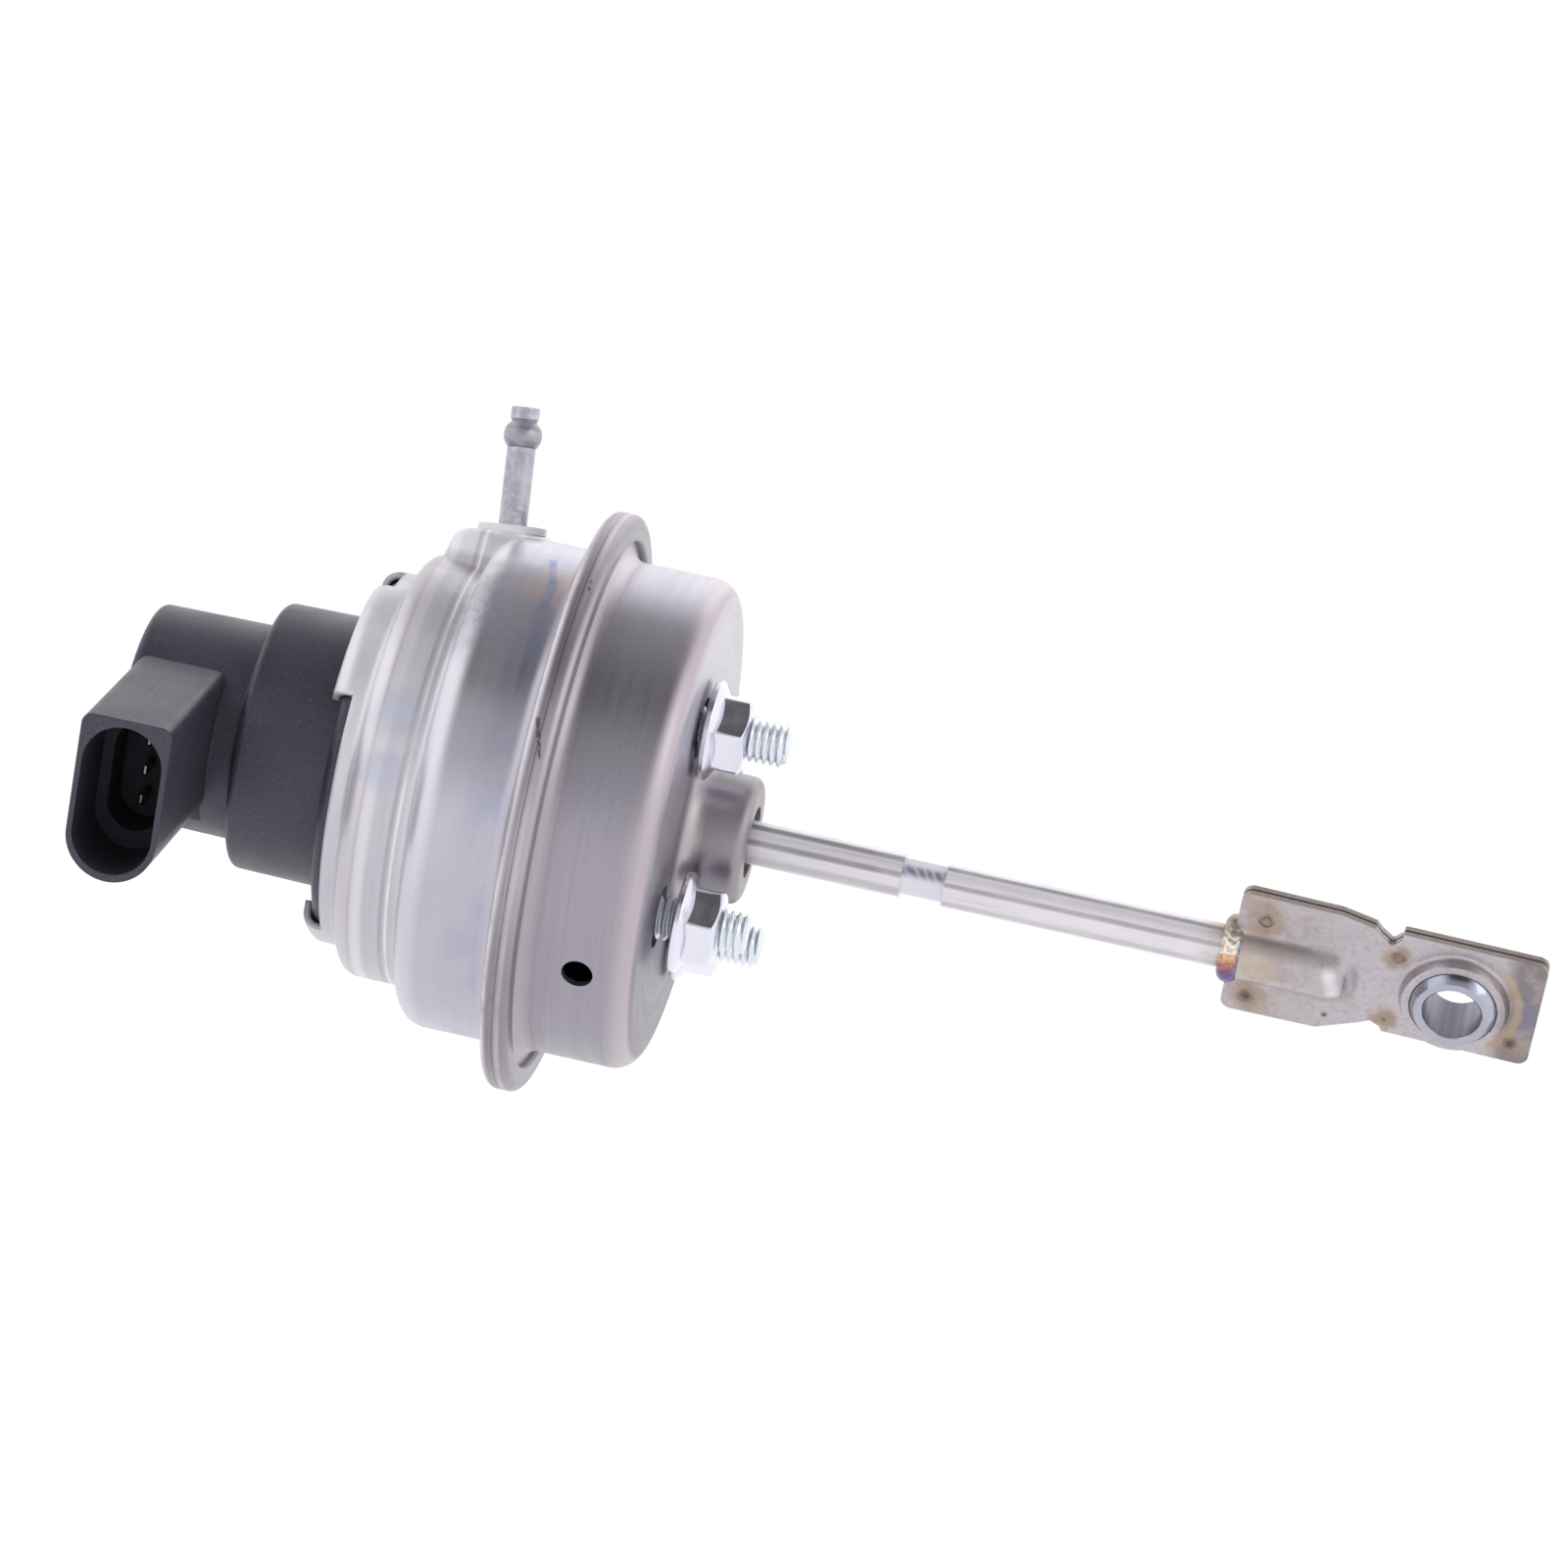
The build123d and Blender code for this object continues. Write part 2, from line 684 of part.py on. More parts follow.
# Sensor housing: moulded body, socket, seal groove, magnet bore and board pocket
board_plane = Plane(
    origin=Vector((board_rear_x + board_front_x) / 2, 0, 0) + socket_direction * board_distance,
    x_dir=(1, 0, 0),
    z_dir=socket_direction,
)
pocket_front_x = seat_rear_x
pocket_length = pocket_front_x - board_rear_x + pocket_margin
pocket_floor = board_distance - sensor_height - pocket_margin
pocket_plane = Plane(
    origin=Vector(pocket_front_x - pocket_length / 2, 0, 0) + socket_direction * pocket_floor,
    x_dir=(1, 0, 0),
    z_dir=socket_direction,
)
pocket_height = board_distance + board_thickness - pocket_floor + seat_gap
with BuildPart() as sensor_housing:
    with BuildSketch(Plane.XZ):
        with BuildLine():
            FilletPolyline(
                (seat_rear_x, 0),
                (seat_rear_x, housing_flange_radius),
                (housing_flange_rear_x, housing_flange_radius),
                (housing_flange_rear_x, housing_front_radius),
                (housing_front_end_x, housing_front_end_radius),
                (housing_front_end_x, housing_rear_radius),
                (housing_end_x, housing_end_radius),
                (housing_end_x, 0),
                radius=(
                    0, housing_flange_edge, housing_root,
                    housing_edge, housing_root, housing_edge,
                ),
            )
            Line((housing_end_x, 0), (seat_rear_x, 0))
        make_face()
    revolve(axis=Axis.X)
    with BuildSketch(mouth_plane):
        with Locations((0, (socket_end_radius) / 2)):
            Rectangle(socket_width, 2 * socket_half_height - socket_end_radius)
        fillet(vertices().group_by(Axis.Y)[-1], radius=socket_corner)
        with Locations((0, socket_end_radius - socket_half_height)):
            Circle(socket_end_radius)
    extrude(amount=socket_root_distance - socket_reach)
    with BuildSketch(mouth_plane):
        SlotOverall(mouth_length, mouth_width, rotation=90)
    extrude(amount=-mouth_depth, mode=Mode.SUBTRACT)
    with BuildSketch(mouth_plane):
        SlotOverall(well_length, well_width, rotation=90)
    extrude(amount=-well_depth, mode=Mode.SUBTRACT)
    with BuildSketch(cross_plane(seat_rear_x)):
        Circle(housing_bore_radius)
    extrude(amount=housing_bore_end_x - seat_rear_x, mode=Mode.SUBTRACT)
    with BuildSketch(pocket_plane):
        Rectangle(pocket_length, board_width + 2 * pocket_margin)
    extrude(amount=pocket_height, mode=Mode.SUBTRACT)
    with BuildSketch(pin_foot_plane):
        for pin_offset in pin_offsets:
            with Locations((0, pin_offset)):
                Rectangle(pin_width, pin_thickness)
    extrude(amount=pin_reach - pin_foot, mode=Mode.SUBTRACT)
    with BuildSketch(cross_plane(groove_centre_x - groove_width / 2)):
        Circle(housing_flange_radius + seat_gap)
        Circle(housing_flange_radius - groove_depth, mode=Mode.SUBTRACT)
    extrude(amount=groove_width, mode=Mode.SUBTRACT)
sensor_housing.part.label = "sensor_housing"
export_step(sensor_housing.part, "parts/sensor_housing.step")

# Housing seal: ring between the flange groove and the collar
seal_inner = housing_flange_radius - groove_depth + seal_squeeze
seal_outer = collar_radius - rear_sheet - seal_squeeze
seal_section_radius = (seal_outer - seal_inner) / 2
with BuildPart() as housing_seal:
    with BuildSketch(Plane.XZ):
        with Locations((groove_centre_x, (seal_outer + seal_inner) / 2)):
            Circle(seal_section_radius)
    revolve(axis=Axis.X)
housing_seal.part.label = "housing_seal"
export_step(housing_seal.part, "parts/housing_seal.step")

# Sensor board
with BuildPart() as sensor_board:
    with BuildSketch(board_plane):
        Rectangle(board_front_x - board_rear_x, board_width)
        board_centre_x = (board_front_x + board_rear_x) / 2
        for pin_offset in pin_offsets:
            with Locations((socket_x - board_centre_x, pin_offset)):
                Rectangle(
                    pin_width + 2 * seat_gap,
                    pin_thickness + 2 * seat_gap,
                    mode=Mode.SUBTRACT,
                )
    extrude(amount=board_thickness)
sensor_board.part.label = "sensor_board"
export_step(sensor_board.part, "parts/sensor_board.step")

# Hall sensor: small block on the inner face of the board
sensor_plane = Plane(
    origin=Vector(sensor_x, 0, 0) + socket_direction * board_distance,
    x_dir=(1, 0, 0),
    z_dir=socket_direction,
)
with BuildPart() as hall_sensor:
    with BuildSketch(sensor_plane):
        Rectangle(sensor_length, sensor_width)
    extrude(amount=-sensor_height)
hall_sensor.part.label = "hall_sensor"
export_step(hall_sensor.part, "parts/hall_sensor.step")

# Magnet carrier: spindle pushed on the end of the rod, holding the magnet
nut_end_x = cup_floor_x - piston_nut_height
with BuildPart() as magnet_carrier:
    with BuildSketch(Plane.XZ):
        with BuildLine():
            Polyline(
                (nut_end_x, rod_thread_radius + seat_gap),
                (nut_end_x, carrier_front_radius),
                (nut_end_x - carrier_front_length, carrier_front_radius),
                (nut_end_x - carrier_front_length, carrier_stem_radius),
                (carrier_head_start_x, carrier_stem_radius),
                (carrier_head_start_x, carrier_radius),
                (carrier_end_x, carrier_radius),
                (carrier_end_x, magnet_radius + seat_gap),
                (carrier_end_x + magnet_length, magnet_radius + seat_gap),
                (carrier_end_x + magnet_length, 0),
                (rod_thread_end_x, 0),
                (rod_thread_end_x, rod_thread_radius + seat_gap),
                close=True,
            )
        make_face()
    revolve(axis=Axis.X)
magnet_carrier.part.label = "magnet_carrier"
export_step(magnet_carrier.part, "parts/magnet_carrier.step")

# Magnet
with BuildPart() as magnet:
    with BuildSketch(cross_plane(carrier_end_x)):
        Circle(magnet_radius)
    extrude(amount=magnet_length)
magnet.part.label = "magnet"
export_step(magnet.part, "parts/magnet.step")


def channel_bar(radius, start_x, outward):
    """A round bar along the axis that ends in half a ball, for one face of the rod channel."""
    with BuildPart() as bar:
        with BuildSketch(cross_plane(start_x)):
            Circle(radius)
        extrude(amount=channel_centre_x - start_x)
        with Locations(Plane(origin=(channel_centre_x, 0, 0), z_dir=Vector(1, 0, 0) - end_normal * outward)):
            Sphere(radius)
    return bar.part


def end_plate(outward):
    """One stamped plate, its channel and spherical collar standing out on one side."""
    channel_inner = rod_radius + channel_gap
    channel_outer = channel_inner + end_sheet
    race_inner = ball_radius + ball_gap
    race_outer = race_inner + end_sheet
    start_x = end_plate_outline[0][0]
    with BuildPart(mode=Mode.PRIVATE) as swelling:
        add(channel_bar(channel_outer, start_x, outward))
        with Locations(bearing_plane):
            Sphere(race_outer)
        with BuildSketch(bearing_plane.offset(outward * race_height)):
            Rectangle(4 * race_outer, 4 * race_outer)
        extrude(amount=outward * race_outer, mode=Mode.SUBTRACT)
        with BuildSketch(end_plane):
            with Locations((bearing_x, 0)):
                Rectangle(12 * race_outer, 4 * race_outer)
        extrude(amount=-outward * race_outer, mode=Mode.SUBTRACT)
    with BuildPart() as plate:
        with BuildSketch(end_plane):
            with BuildLine():
                Polyline(*end_plate_outline, close=True)
            make_face()
            fillet(vertices().sort_by(Axis.X)[2:-2], radius=notch_corner)
            ends = vertices().sort_by(Axis.X)
            fillet(ends[:2] + ends[-2:], radius=plate_corner)
        extrude(amount=outward * end_sheet)
        add(swelling.part)
        face_edges = plate.edges().filter_by(
            lambda edge: abs((edge @ 0.5).dot(end_normal) - outward * end_sheet) < fit_tolerance
        )
        collar_edges = face_edges.filter_by(
            lambda edge: abs((edge @ 0.5 - bearing_plane.origin).length - race_outer) < fit_tolerance
        )
        fillet(collar_edges, radius=collar_fillet)
        channel_edges = face_edges.filter_by(
            lambda edge: start_x < (edge @ 0.5).X < channel_centre_x + channel_outer
            and ((edge @ 0.5) - Vector((edge @ 0.5).X, 0, 0)).length < channel_outer + fit_tolerance
        )
        fillet(channel_edges, radius=channel_root)
        add(channel_bar(channel_inner, start_x - race_outer, outward), mode=Mode.SUBTRACT)
        with Locations(bearing_plane):
            Sphere(race_inner, mode=Mode.SUBTRACT)
    return plate.part


rod_end_front_plate = end_plate(1)
rod_end_front_plate.label = "rod_end_front_plate"
export_step(rod_end_front_plate, "parts/rod_end_front_plate.step")
rod_end_rear_plate = end_plate(-1)
rod_end_rear_plate.label = "rod_end_rear_plate"
export_step(rod_end_rear_plate, "parts/rod_end_rear_plate.step")

# Bearing ball
with BuildPart() as bearing_ball:
    with Locations(bearing_plane):
        Sphere(ball_radius)
    with BuildSketch(bearing_plane.offset(-ball_half_width)):
        Circle(2 * ball_radius)
    extrude(amount=2 * ball_half_width, mode=Mode.INTERSECT)
    with BuildSketch(bearing_plane.offset(-ball_half_width)):
        Circle(ball_bore_radius)
    extrude(amount=2 * ball_half_width, mode=Mode.SUBTRACT)
    bore_edges = bearing_ball.faces().filter_by(GeomType.CYLINDER)[0].edges()
    chamfer(bore_edges.filter_by(GeomType.CIRCLE), length=ball_chamfer)
bearing_ball.part.label = "bearing_ball"
export_step(bearing_ball.part, "parts/bearing_ball.step")

# Rod weld: bead round the rod where it enters the plates
with BuildPart() as rod_weld:
    with BuildSketch(Plane.XZ):
        with BuildLine():
            Polyline(
                (weld_end_x, rod_radius + seat_gap),
                (weld_start_x, rod_radius + seat_gap),
            )
            ThreePointArc(
                (weld_start_x, rod_radius + seat_gap),
                ((weld_start_x + weld_end_x) / 2, weld_crown_radius),
                (weld_end_x, rod_radius + channel_gap + end_sheet),
            )
            Line(
                (weld_end_x, rod_radius + channel_gap + end_sheet),
                (weld_end_x, rod_radius + seat_gap),
            )
        make_face()
    revolve(axis=Axis.X)
    add(rod_end_front_plate, mode=Mode.SUBTRACT)
    add(rod_end_rear_plate, mode=Mode.SUBTRACT)
rod_weld.part.label = "rod_weld"
export_step(rod_weld.part, "parts/rod_weld.step")
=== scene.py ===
# %% [markdown]
# # A vacuum actuator, dressed for its picture
# The shape comes from the CAD frame, in metres: +X runs along the rod, +Z along the hose nipple.
# This notebook gives every piece its finish, cuts the threads, sets the studio and the camera.

# %% The frame
from math import cos, pi, radians, sin

import bmesh
import bpy
from mathutils import Matrix, Vector
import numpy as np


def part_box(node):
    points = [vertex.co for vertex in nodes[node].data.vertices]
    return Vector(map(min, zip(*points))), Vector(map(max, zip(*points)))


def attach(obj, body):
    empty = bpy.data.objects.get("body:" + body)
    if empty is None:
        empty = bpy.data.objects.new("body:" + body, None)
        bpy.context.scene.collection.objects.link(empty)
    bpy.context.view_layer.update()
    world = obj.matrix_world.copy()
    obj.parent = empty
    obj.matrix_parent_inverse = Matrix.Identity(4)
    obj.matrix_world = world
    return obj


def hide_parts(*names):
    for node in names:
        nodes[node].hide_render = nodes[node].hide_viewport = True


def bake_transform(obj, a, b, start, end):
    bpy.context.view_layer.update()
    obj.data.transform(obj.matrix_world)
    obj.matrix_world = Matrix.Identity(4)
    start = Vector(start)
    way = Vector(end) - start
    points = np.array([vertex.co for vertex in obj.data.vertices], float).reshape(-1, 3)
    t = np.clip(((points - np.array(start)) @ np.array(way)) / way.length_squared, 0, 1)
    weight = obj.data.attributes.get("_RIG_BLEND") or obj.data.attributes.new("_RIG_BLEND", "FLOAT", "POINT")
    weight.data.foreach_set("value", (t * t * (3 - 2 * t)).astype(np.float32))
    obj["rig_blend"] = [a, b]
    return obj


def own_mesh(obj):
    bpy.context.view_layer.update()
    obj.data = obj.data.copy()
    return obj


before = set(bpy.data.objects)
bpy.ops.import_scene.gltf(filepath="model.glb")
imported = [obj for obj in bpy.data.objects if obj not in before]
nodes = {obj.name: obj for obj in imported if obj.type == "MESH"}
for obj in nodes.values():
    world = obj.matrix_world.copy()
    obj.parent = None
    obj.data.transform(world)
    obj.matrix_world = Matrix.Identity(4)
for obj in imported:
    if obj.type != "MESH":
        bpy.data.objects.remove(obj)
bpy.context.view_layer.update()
scene = bpy.context.scene
mm = 0.001
print("pieces in the frame:", len(nodes))


def add_object(name, data):
    """An object with its own data, in the scene."""
    made = bpy.data.objects.new(name, data)
    scene.collection.objects.link(made)
    return made


# %% [markdown]
# ## Camera
# The photograph was taken from beside the rod, a little in front of the can, with a long lens held
# level and rolled by about twelve degrees. The three axes below are the picture's right, its up and
# the way that the lens looks, so the camera's matrix is written straight from them.

# %% Camera
camera_place = Vector((103.2189, -878.6985, 8.7344)) * mm
picture_right = Vector((0.97161612, 0.10143521, 0.21371244))
picture_up = Vector((-0.21255725, -0.02219065, 0.97689661))
lens_length = 148.22
sensor_width = 36.0
nearest, farthest = 0.05, 20.0


def place_camera():
    """A camera whose local X, Y and -Z are the picture's right, up and line of sight."""
    lens = bpy.data.cameras.new("long_lens")
    lens.lens = lens_length
    lens.sensor_width = sensor_width
    lens.clip_start = nearest
    lens.clip_end = farthest
    camera = add_object("camera", lens)
    behind = picture_right.cross(picture_up)
    turned = Matrix((picture_right, picture_up, behind)).transposed().to_4x4()
    camera.matrix_world = Matrix.Translation(camera_place) @ turned
    scene.camera = camera


place_camera()
print("camera stands", round(camera_place.length, 3), "m from the face")

# %% [markdown]
# ## Small helpers for node trees
# Every finish below is a tree of nodes. A value given to a helper may be a number or a socket: a
# socket is linked, and it also says in which tree the new node goes.


# %% Node helpers
def is_socket(value):
    return isinstance(value, bpy.types.NodeSocket)


def tree_of(values):
    """The tree of the first socket among some values."""
    return next(value.id_data for value in values if is_socket(value))


def link(source, socket):
    socket.id_data.links.new(source, socket)


def node(tree, kind, inputs=None, **settings):
    """A new node with its settings, and its inputs filled or linked."""
    made = tree.nodes.new(kind)
    for name, value in settings.items():
        setattr(made, name, value)
    for name, value in (inputs or {}).items():
        if is_socket(value):
            link(value, made.inputs[name])
        else:
            made.inputs[name].default_value = value
    return made


def maths(operation, first, second=0.0, third=0.0, clamp=False):
    """One Math node's result."""
    values = (first, second, third)
    inputs = dict(enumerate(values))
    return node(
        tree_of(values), "ShaderNodeMath", inputs, operation=operation, use_clamp=clamp
    ).outputs[0]


def times(first, *others):
    """Values multiplied, from the left."""
    for other in others:
        first = maths("MULTIPLY", first, other)
    return first


def plus(first, second):
    return maths("ADD", first, second)


def size_of(value):
    """A value without its sign."""
    return maths("ABSOLUTE", value)


def between(value, low, high, start=0.0, end=1.0):
    """Smooth step: start below low, end above high."""
    steps = {"From Min": low, "From Max": high, "To Min": start, "To Max": end}
    return node(
        tree_of([value]), "ShaderNodeMapRange", {"Value": value, **steps},
        interpolation_type="SMOOTHSTEP",
    ).outputs["Result"]


def above(value, low, high, share=1.0):
    """Nothing below low, the share above high."""
    return between(value, low, high, 0.0, share)


def below(value, low, high, share=1.0):
    """The share below low, nothing above high."""
    return between(value, low, high, share, 0.0)


def vector(operation, *values, **more):
    """One Vector Math node's outputs, Vector and Value."""
    inputs = {**dict(enumerate(values)), **more}
    tree = tree_of(inputs.values())
    return node(tree, "ShaderNodeVectorMath", inputs, operation=operation).outputs


def from_point(place, point):
    """The arrow from a point to a place."""
    return vector("SUBTRACT", place, point)["Vector"]


def length_mm(arrow):
    return times(vector("LENGTH", arrow)["Value"], 1000.0)


def along_mm(arrow, axis):
    """How far an arrow reaches along an axis."""
    return times(vector("DOT_PRODUCT", arrow, axis)["Value"], 1000.0)


def in_mm(place, axes):
    """The coordinates of a place that are asked for, in millimetres."""
    parts = node(tree_of([place]), "ShaderNodeSeparateXYZ", {0: place}).outputs
    return [times(parts[axis], 1000.0) for axis in axes]


def noise(place, scale, detail, **more):
    inputs = {"Vector": place, "Scale": scale, "Detail": detail, **more}
    return node(tree_of([place]), "ShaderNodeTexNoise", inputs).outputs["Fac"]


def noise_at(x, y, z, detail):
    """Noise over a space that was stretched or bent."""
    place = node(tree_of([x]), "ShaderNodeCombineXYZ", {0: x, 1: y, 2: z}).outputs[0]
    return noise(place, 1.0, detail)


def tone(red, green, blue):
    """A colour given as it looks on a screen, 0 to 255, turned into the light that Blender mixes."""

    def linear(value):
        value /= 255.0
        return value / 12.92 if value <= 0.04045 else ((value + 0.055) / 1.055) ** 2.4

    return (linear(red), linear(green), linear(blue), 1.0)


def mixed(amount, first, second):
    """Two colours mixed by amount; one that is written as three numbers is a tone on a screen."""
    first, second = (tone(*c) if isinstance(c, tuple) else c for c in (first, second))
    inputs = {0: amount, 6: first, 7: second}
    return node(tree_of(inputs.values()), "ShaderNodeMix", inputs, data_type="RGBA").outputs[2]


def layered(colour, *layers):
    """Layers laid over a colour in turn: each has a mask, the share of it that shows and a shade."""
    for mask, share, shade in layers:
        colour = mixed(times(mask, share), colour, shade)
    return colour


def effect(name, inputs, outputs):
    """An empty node group; an input without a number is a vector, and every output is a value."""
    tree = bpy.data.node_groups.new(name, "ShaderNodeTree")
    for label, value in inputs.items():
        kind = "NodeSocketVector" if value is None else "NodeSocketFloat"
        socket = tree.interface.new_socket(label, in_out="INPUT", socket_type=kind)
        if value is not None:
            socket.default_value = value
    for label in outputs:
        tree.interface.new_socket(label, in_out="OUTPUT", socket_type="NodeSocketFloat")
    way_in = tree.nodes.new("NodeGroupInput")
    way_out = tree.nodes.new("NodeGroupOutput")
    return tree, way_in.outputs, way_out.inputs


print("node helpers ready")

# %% [markdown]
# ## Shared effects
# Six effects come back in the finishes, so each is a node group, built once: fine rings left by
# spinning or drawing round an axis, fine lines along an axis, the grain of a surface with smudges
# of handling, a round stain with a ragged edge, the crater of a spot weld, and a thin line mark.
# All read a place in Object coordinates, in metres, and give out only values.


# %% Rings left by turning
def build_turned_rings():
    """Rings round the X axis, which fade in and out as they go round."""
    tree, given, out = effect(
        "turned_rings", {"Place": None, "Rings per mm": 6.0, "Arc length": 0.7}, ("Rings", "Bands")
    )
    smallest_radius = 0.05
    cone_slope = 0.83
    x, y, z = in_mm(given["Place"], "XYZ")
    radius = maths("SQRT", plus(times(y, y), times(z, z)))
    radius = maths("MAXIMUM", radius, smallest_radius)
    along = plus(x, times(radius, cone_slope))
    turned = [maths("DIVIDE", side, radius) for side in (y, z)]
    for label, share, detail in (("Rings", 1.0, 2.0), ("Bands", 0.16, 3.0)):
        density = times(given["Rings per mm"], share)
        around = [maths("DIVIDE", side, given["Arc length"]) for side in turned]
        link(noise_at(times(along, density), *around, detail), out[label])
    return tree


turned_rings = build_turned_rings()
print("group:", turned_rings.name)


# %% Lines left by brushing
def build_brushed_lines():
    """Streaks along the X axis, fine ones and broad ones."""
    tree, given, out = effect(
        "brushed_lines", {"Place": None, "Lines per mm": 5.0, "Length mm": 12.0},
        ("Lines", "Streaks"),
    )
    x, y, z = in_mm(given["Place"], "XYZ")
    along = maths("DIVIDE", x, given["Length mm"])
    for label, share, detail in (("Lines", 1.0, 2.0), ("Streaks", 0.22, 3.0)):
        density = times(given["Lines per mm"], share)
        link(noise_at(along, times(y, density), times(z, density), detail), out[label])
    return tree


brushed_lines = build_brushed_lines()
print("group:", brushed_lines.name)


# %% Grain, smudges and stains
def build_grain():
    """Fine grain of a given size in millimetres, and a slower cloud of smudges."""
    tree, given, out = effect(
        "grain_and_smudges", {"Place": None, "Grain mm": 0.25, "Smudge mm": 9.0},
        ("Grain", "Smudges"),
    )
    for size, detail, label in (("Grain mm", 3.0, "Grain"), ("Smudge mm", 4.0, "Smudges")):
        scale = maths("DIVIDE", 1000.0, given[size])
        link(noise(given["Place"], scale, detail, Roughness=0.6), out[label])
    return tree


def build_stain():
    """A stain about a centre, 1 in its middle, with a ragged soft edge."""
    tree, given, out = effect(
        "stain",
        {"Place": None, "Centre": None, "Radius mm": 3.0, "Ragged": 0.5, "Lobes mm": 1.1},
        ("Stain",),
    )
    away = length_mm(from_point(given["Place"], given["Centre"]))
    share = maths("DIVIDE", away, given["Radius mm"])
    ragged = noise(given["Place"], maths("DIVIDE", 1000.0, given["Lobes mm"]), 3.0)
    wander = times(maths("SUBTRACT", ragged, 0.5), given["Ragged"], 2.0)
    link(below(plus(share, wander), 0.35, 1.0), out["Stain"])
    return tree


def build_crater():
    """A small crater: Floor is 1 inside it, Lip is 1 on its raised ring."""
    tree, given, out = effect(
        "crater", {"Place": None, "Centre": None, "Radius mm": 0.8}, ("Floor", "Lip")
    )
    away = length_mm(from_point(given["Place"], given["Centre"]))
    ragged = noise(given["Place"], 1800.0, 2.0)
    wander = maths("MULTIPLY_ADD", ragged, 0.9, -0.45)
    share = plus(maths("DIVIDE", away, given["Radius mm"]), wander)
    link(below(share, 0.45, 0.85), out["Floor"])
    link(times(above(share, 0.6, 0.95), below(share, 1.0, 1.5)), out["Lip"])
    return tree


def build_line_mark():
    """A thin mark between two points, 1 on its line: a scratch, a fold or a parting line."""
    tree, given, out = effect(
        "line_mark", {"Place": None, "Start": None, "End": None, "Width mm": 0.3}, ("Mark",)
    )
    shortest = 1e-9
    from_start = from_point(given["Place"], given["Start"])
    line = from_point(given["End"], given["Start"])
    length = maths("MAXIMUM", vector("DOT_PRODUCT", line, line)["Value"], shortest)
    reached = vector("DOT_PRODUCT", from_start, line)["Value"]
    share = maths("DIVIDE", reached, length, clamp=True)
    along = vector("SCALE", line, Scale=share)["Vector"]
    distance = vector("LENGTH", vector("SUBTRACT", from_start, along)["Vector"])["Value"]
    half_width = times(given["Width mm"], mm / 2.0)
    link(below(maths("DIVIDE", distance, half_width), 0.3, 1.0), out["Mark"])
    return tree


grain_and_smudges = build_grain()
stain = build_stain()
crater = build_crater()
line_mark = build_line_mark()
print("groups:", grain_and_smudges.name, stain.name, crater.name, line_mark.name)

# %% [markdown]
# ## One way to start a finish
# A finish is a material with one Principled shader. What is the same all over a surface, such as
# being metal, is set on the shader's own socket, and what changes over it is linked.


# %% Starting a finish
def start_finish(name, metallic=1.0, specular=0.5):
    """A new material, its shader and the socket that says where a point is."""
    material = bpy.data.materials.new(name)
    material.use_nodes = True
    tree = material.node_tree
    shader = tree.nodes["Principled BSDF"]
    shader.inputs["Metallic"].default_value = metallic
    shader.inputs["Specular IOR Level"].default_value = specular
    return material, shader, tree.nodes.new("ShaderNodeTexCoord").outputs["Object"]


def use(group, place, *values):
    """A group's outputs at a place; the values fill its other inputs in their order."""
    made = node(place.id_data, "ShaderNodeGroup", node_tree=group)
    link(place, made.inputs["Place"])
    for socket, value in zip(list(made.inputs)[1:], values):
        socket.default_value = value
    return made.outputs


def bumped(height, depth_mm, normal=None):
    """A Bump node's normal; depth is in millimetres."""
    inputs = {"Strength": 1.0, "Distance": depth_mm * mm, "Height": height}
    if normal is not None:
        inputs["Normal"] = normal
    return node(tree_of([height]), "ShaderNodeBump", inputs).outputs["Normal"]


def soft_edges(shader, radius_mm):
    """The normal of edges that a fingertip finds rounded, though the solid's are sharp."""
    tree = shader.id_data
    radius = node(tree, "ShaderNodeMath", {0: radius_mm, 1: mm}, operation="MULTIPLY").outputs[0]
    return node(tree, "ShaderNodeBevel", {"Radius": radius}, samples=6).outputs["Normal"]


def paint(shader, colour, rough, normal):
    """What every finish links into its shader."""
    link(colour, shader.inputs["Base Color"])
    link(rough, shader.inputs["Roughness"])
    link(normal, shader.inputs["Normal"])


print("finish helpers ready")

# %% [markdown]
# ## The two cans
# Both cans are drawn from stainless sheet. Drawing and spinning leave faint rings, and the surface
# is satin, not polished. The front can is a violet grey, with painted highlights on its upper wall,
# its front corner and the hub's root, a pale painted reflection by the rim, and painted light and
# shade on its face. The rear can is lighter, with a dull patch on its side, a bronze tint by the
# nipple's pad, a bluish band beside the rim, and the folds that the press left under the pad. It
# has painted highlights on its neck, its seat and the rounding of its shoulder, painted shade in a
# band round its upper wall and on the rim's top and bottom, and painted rings of light and shade.


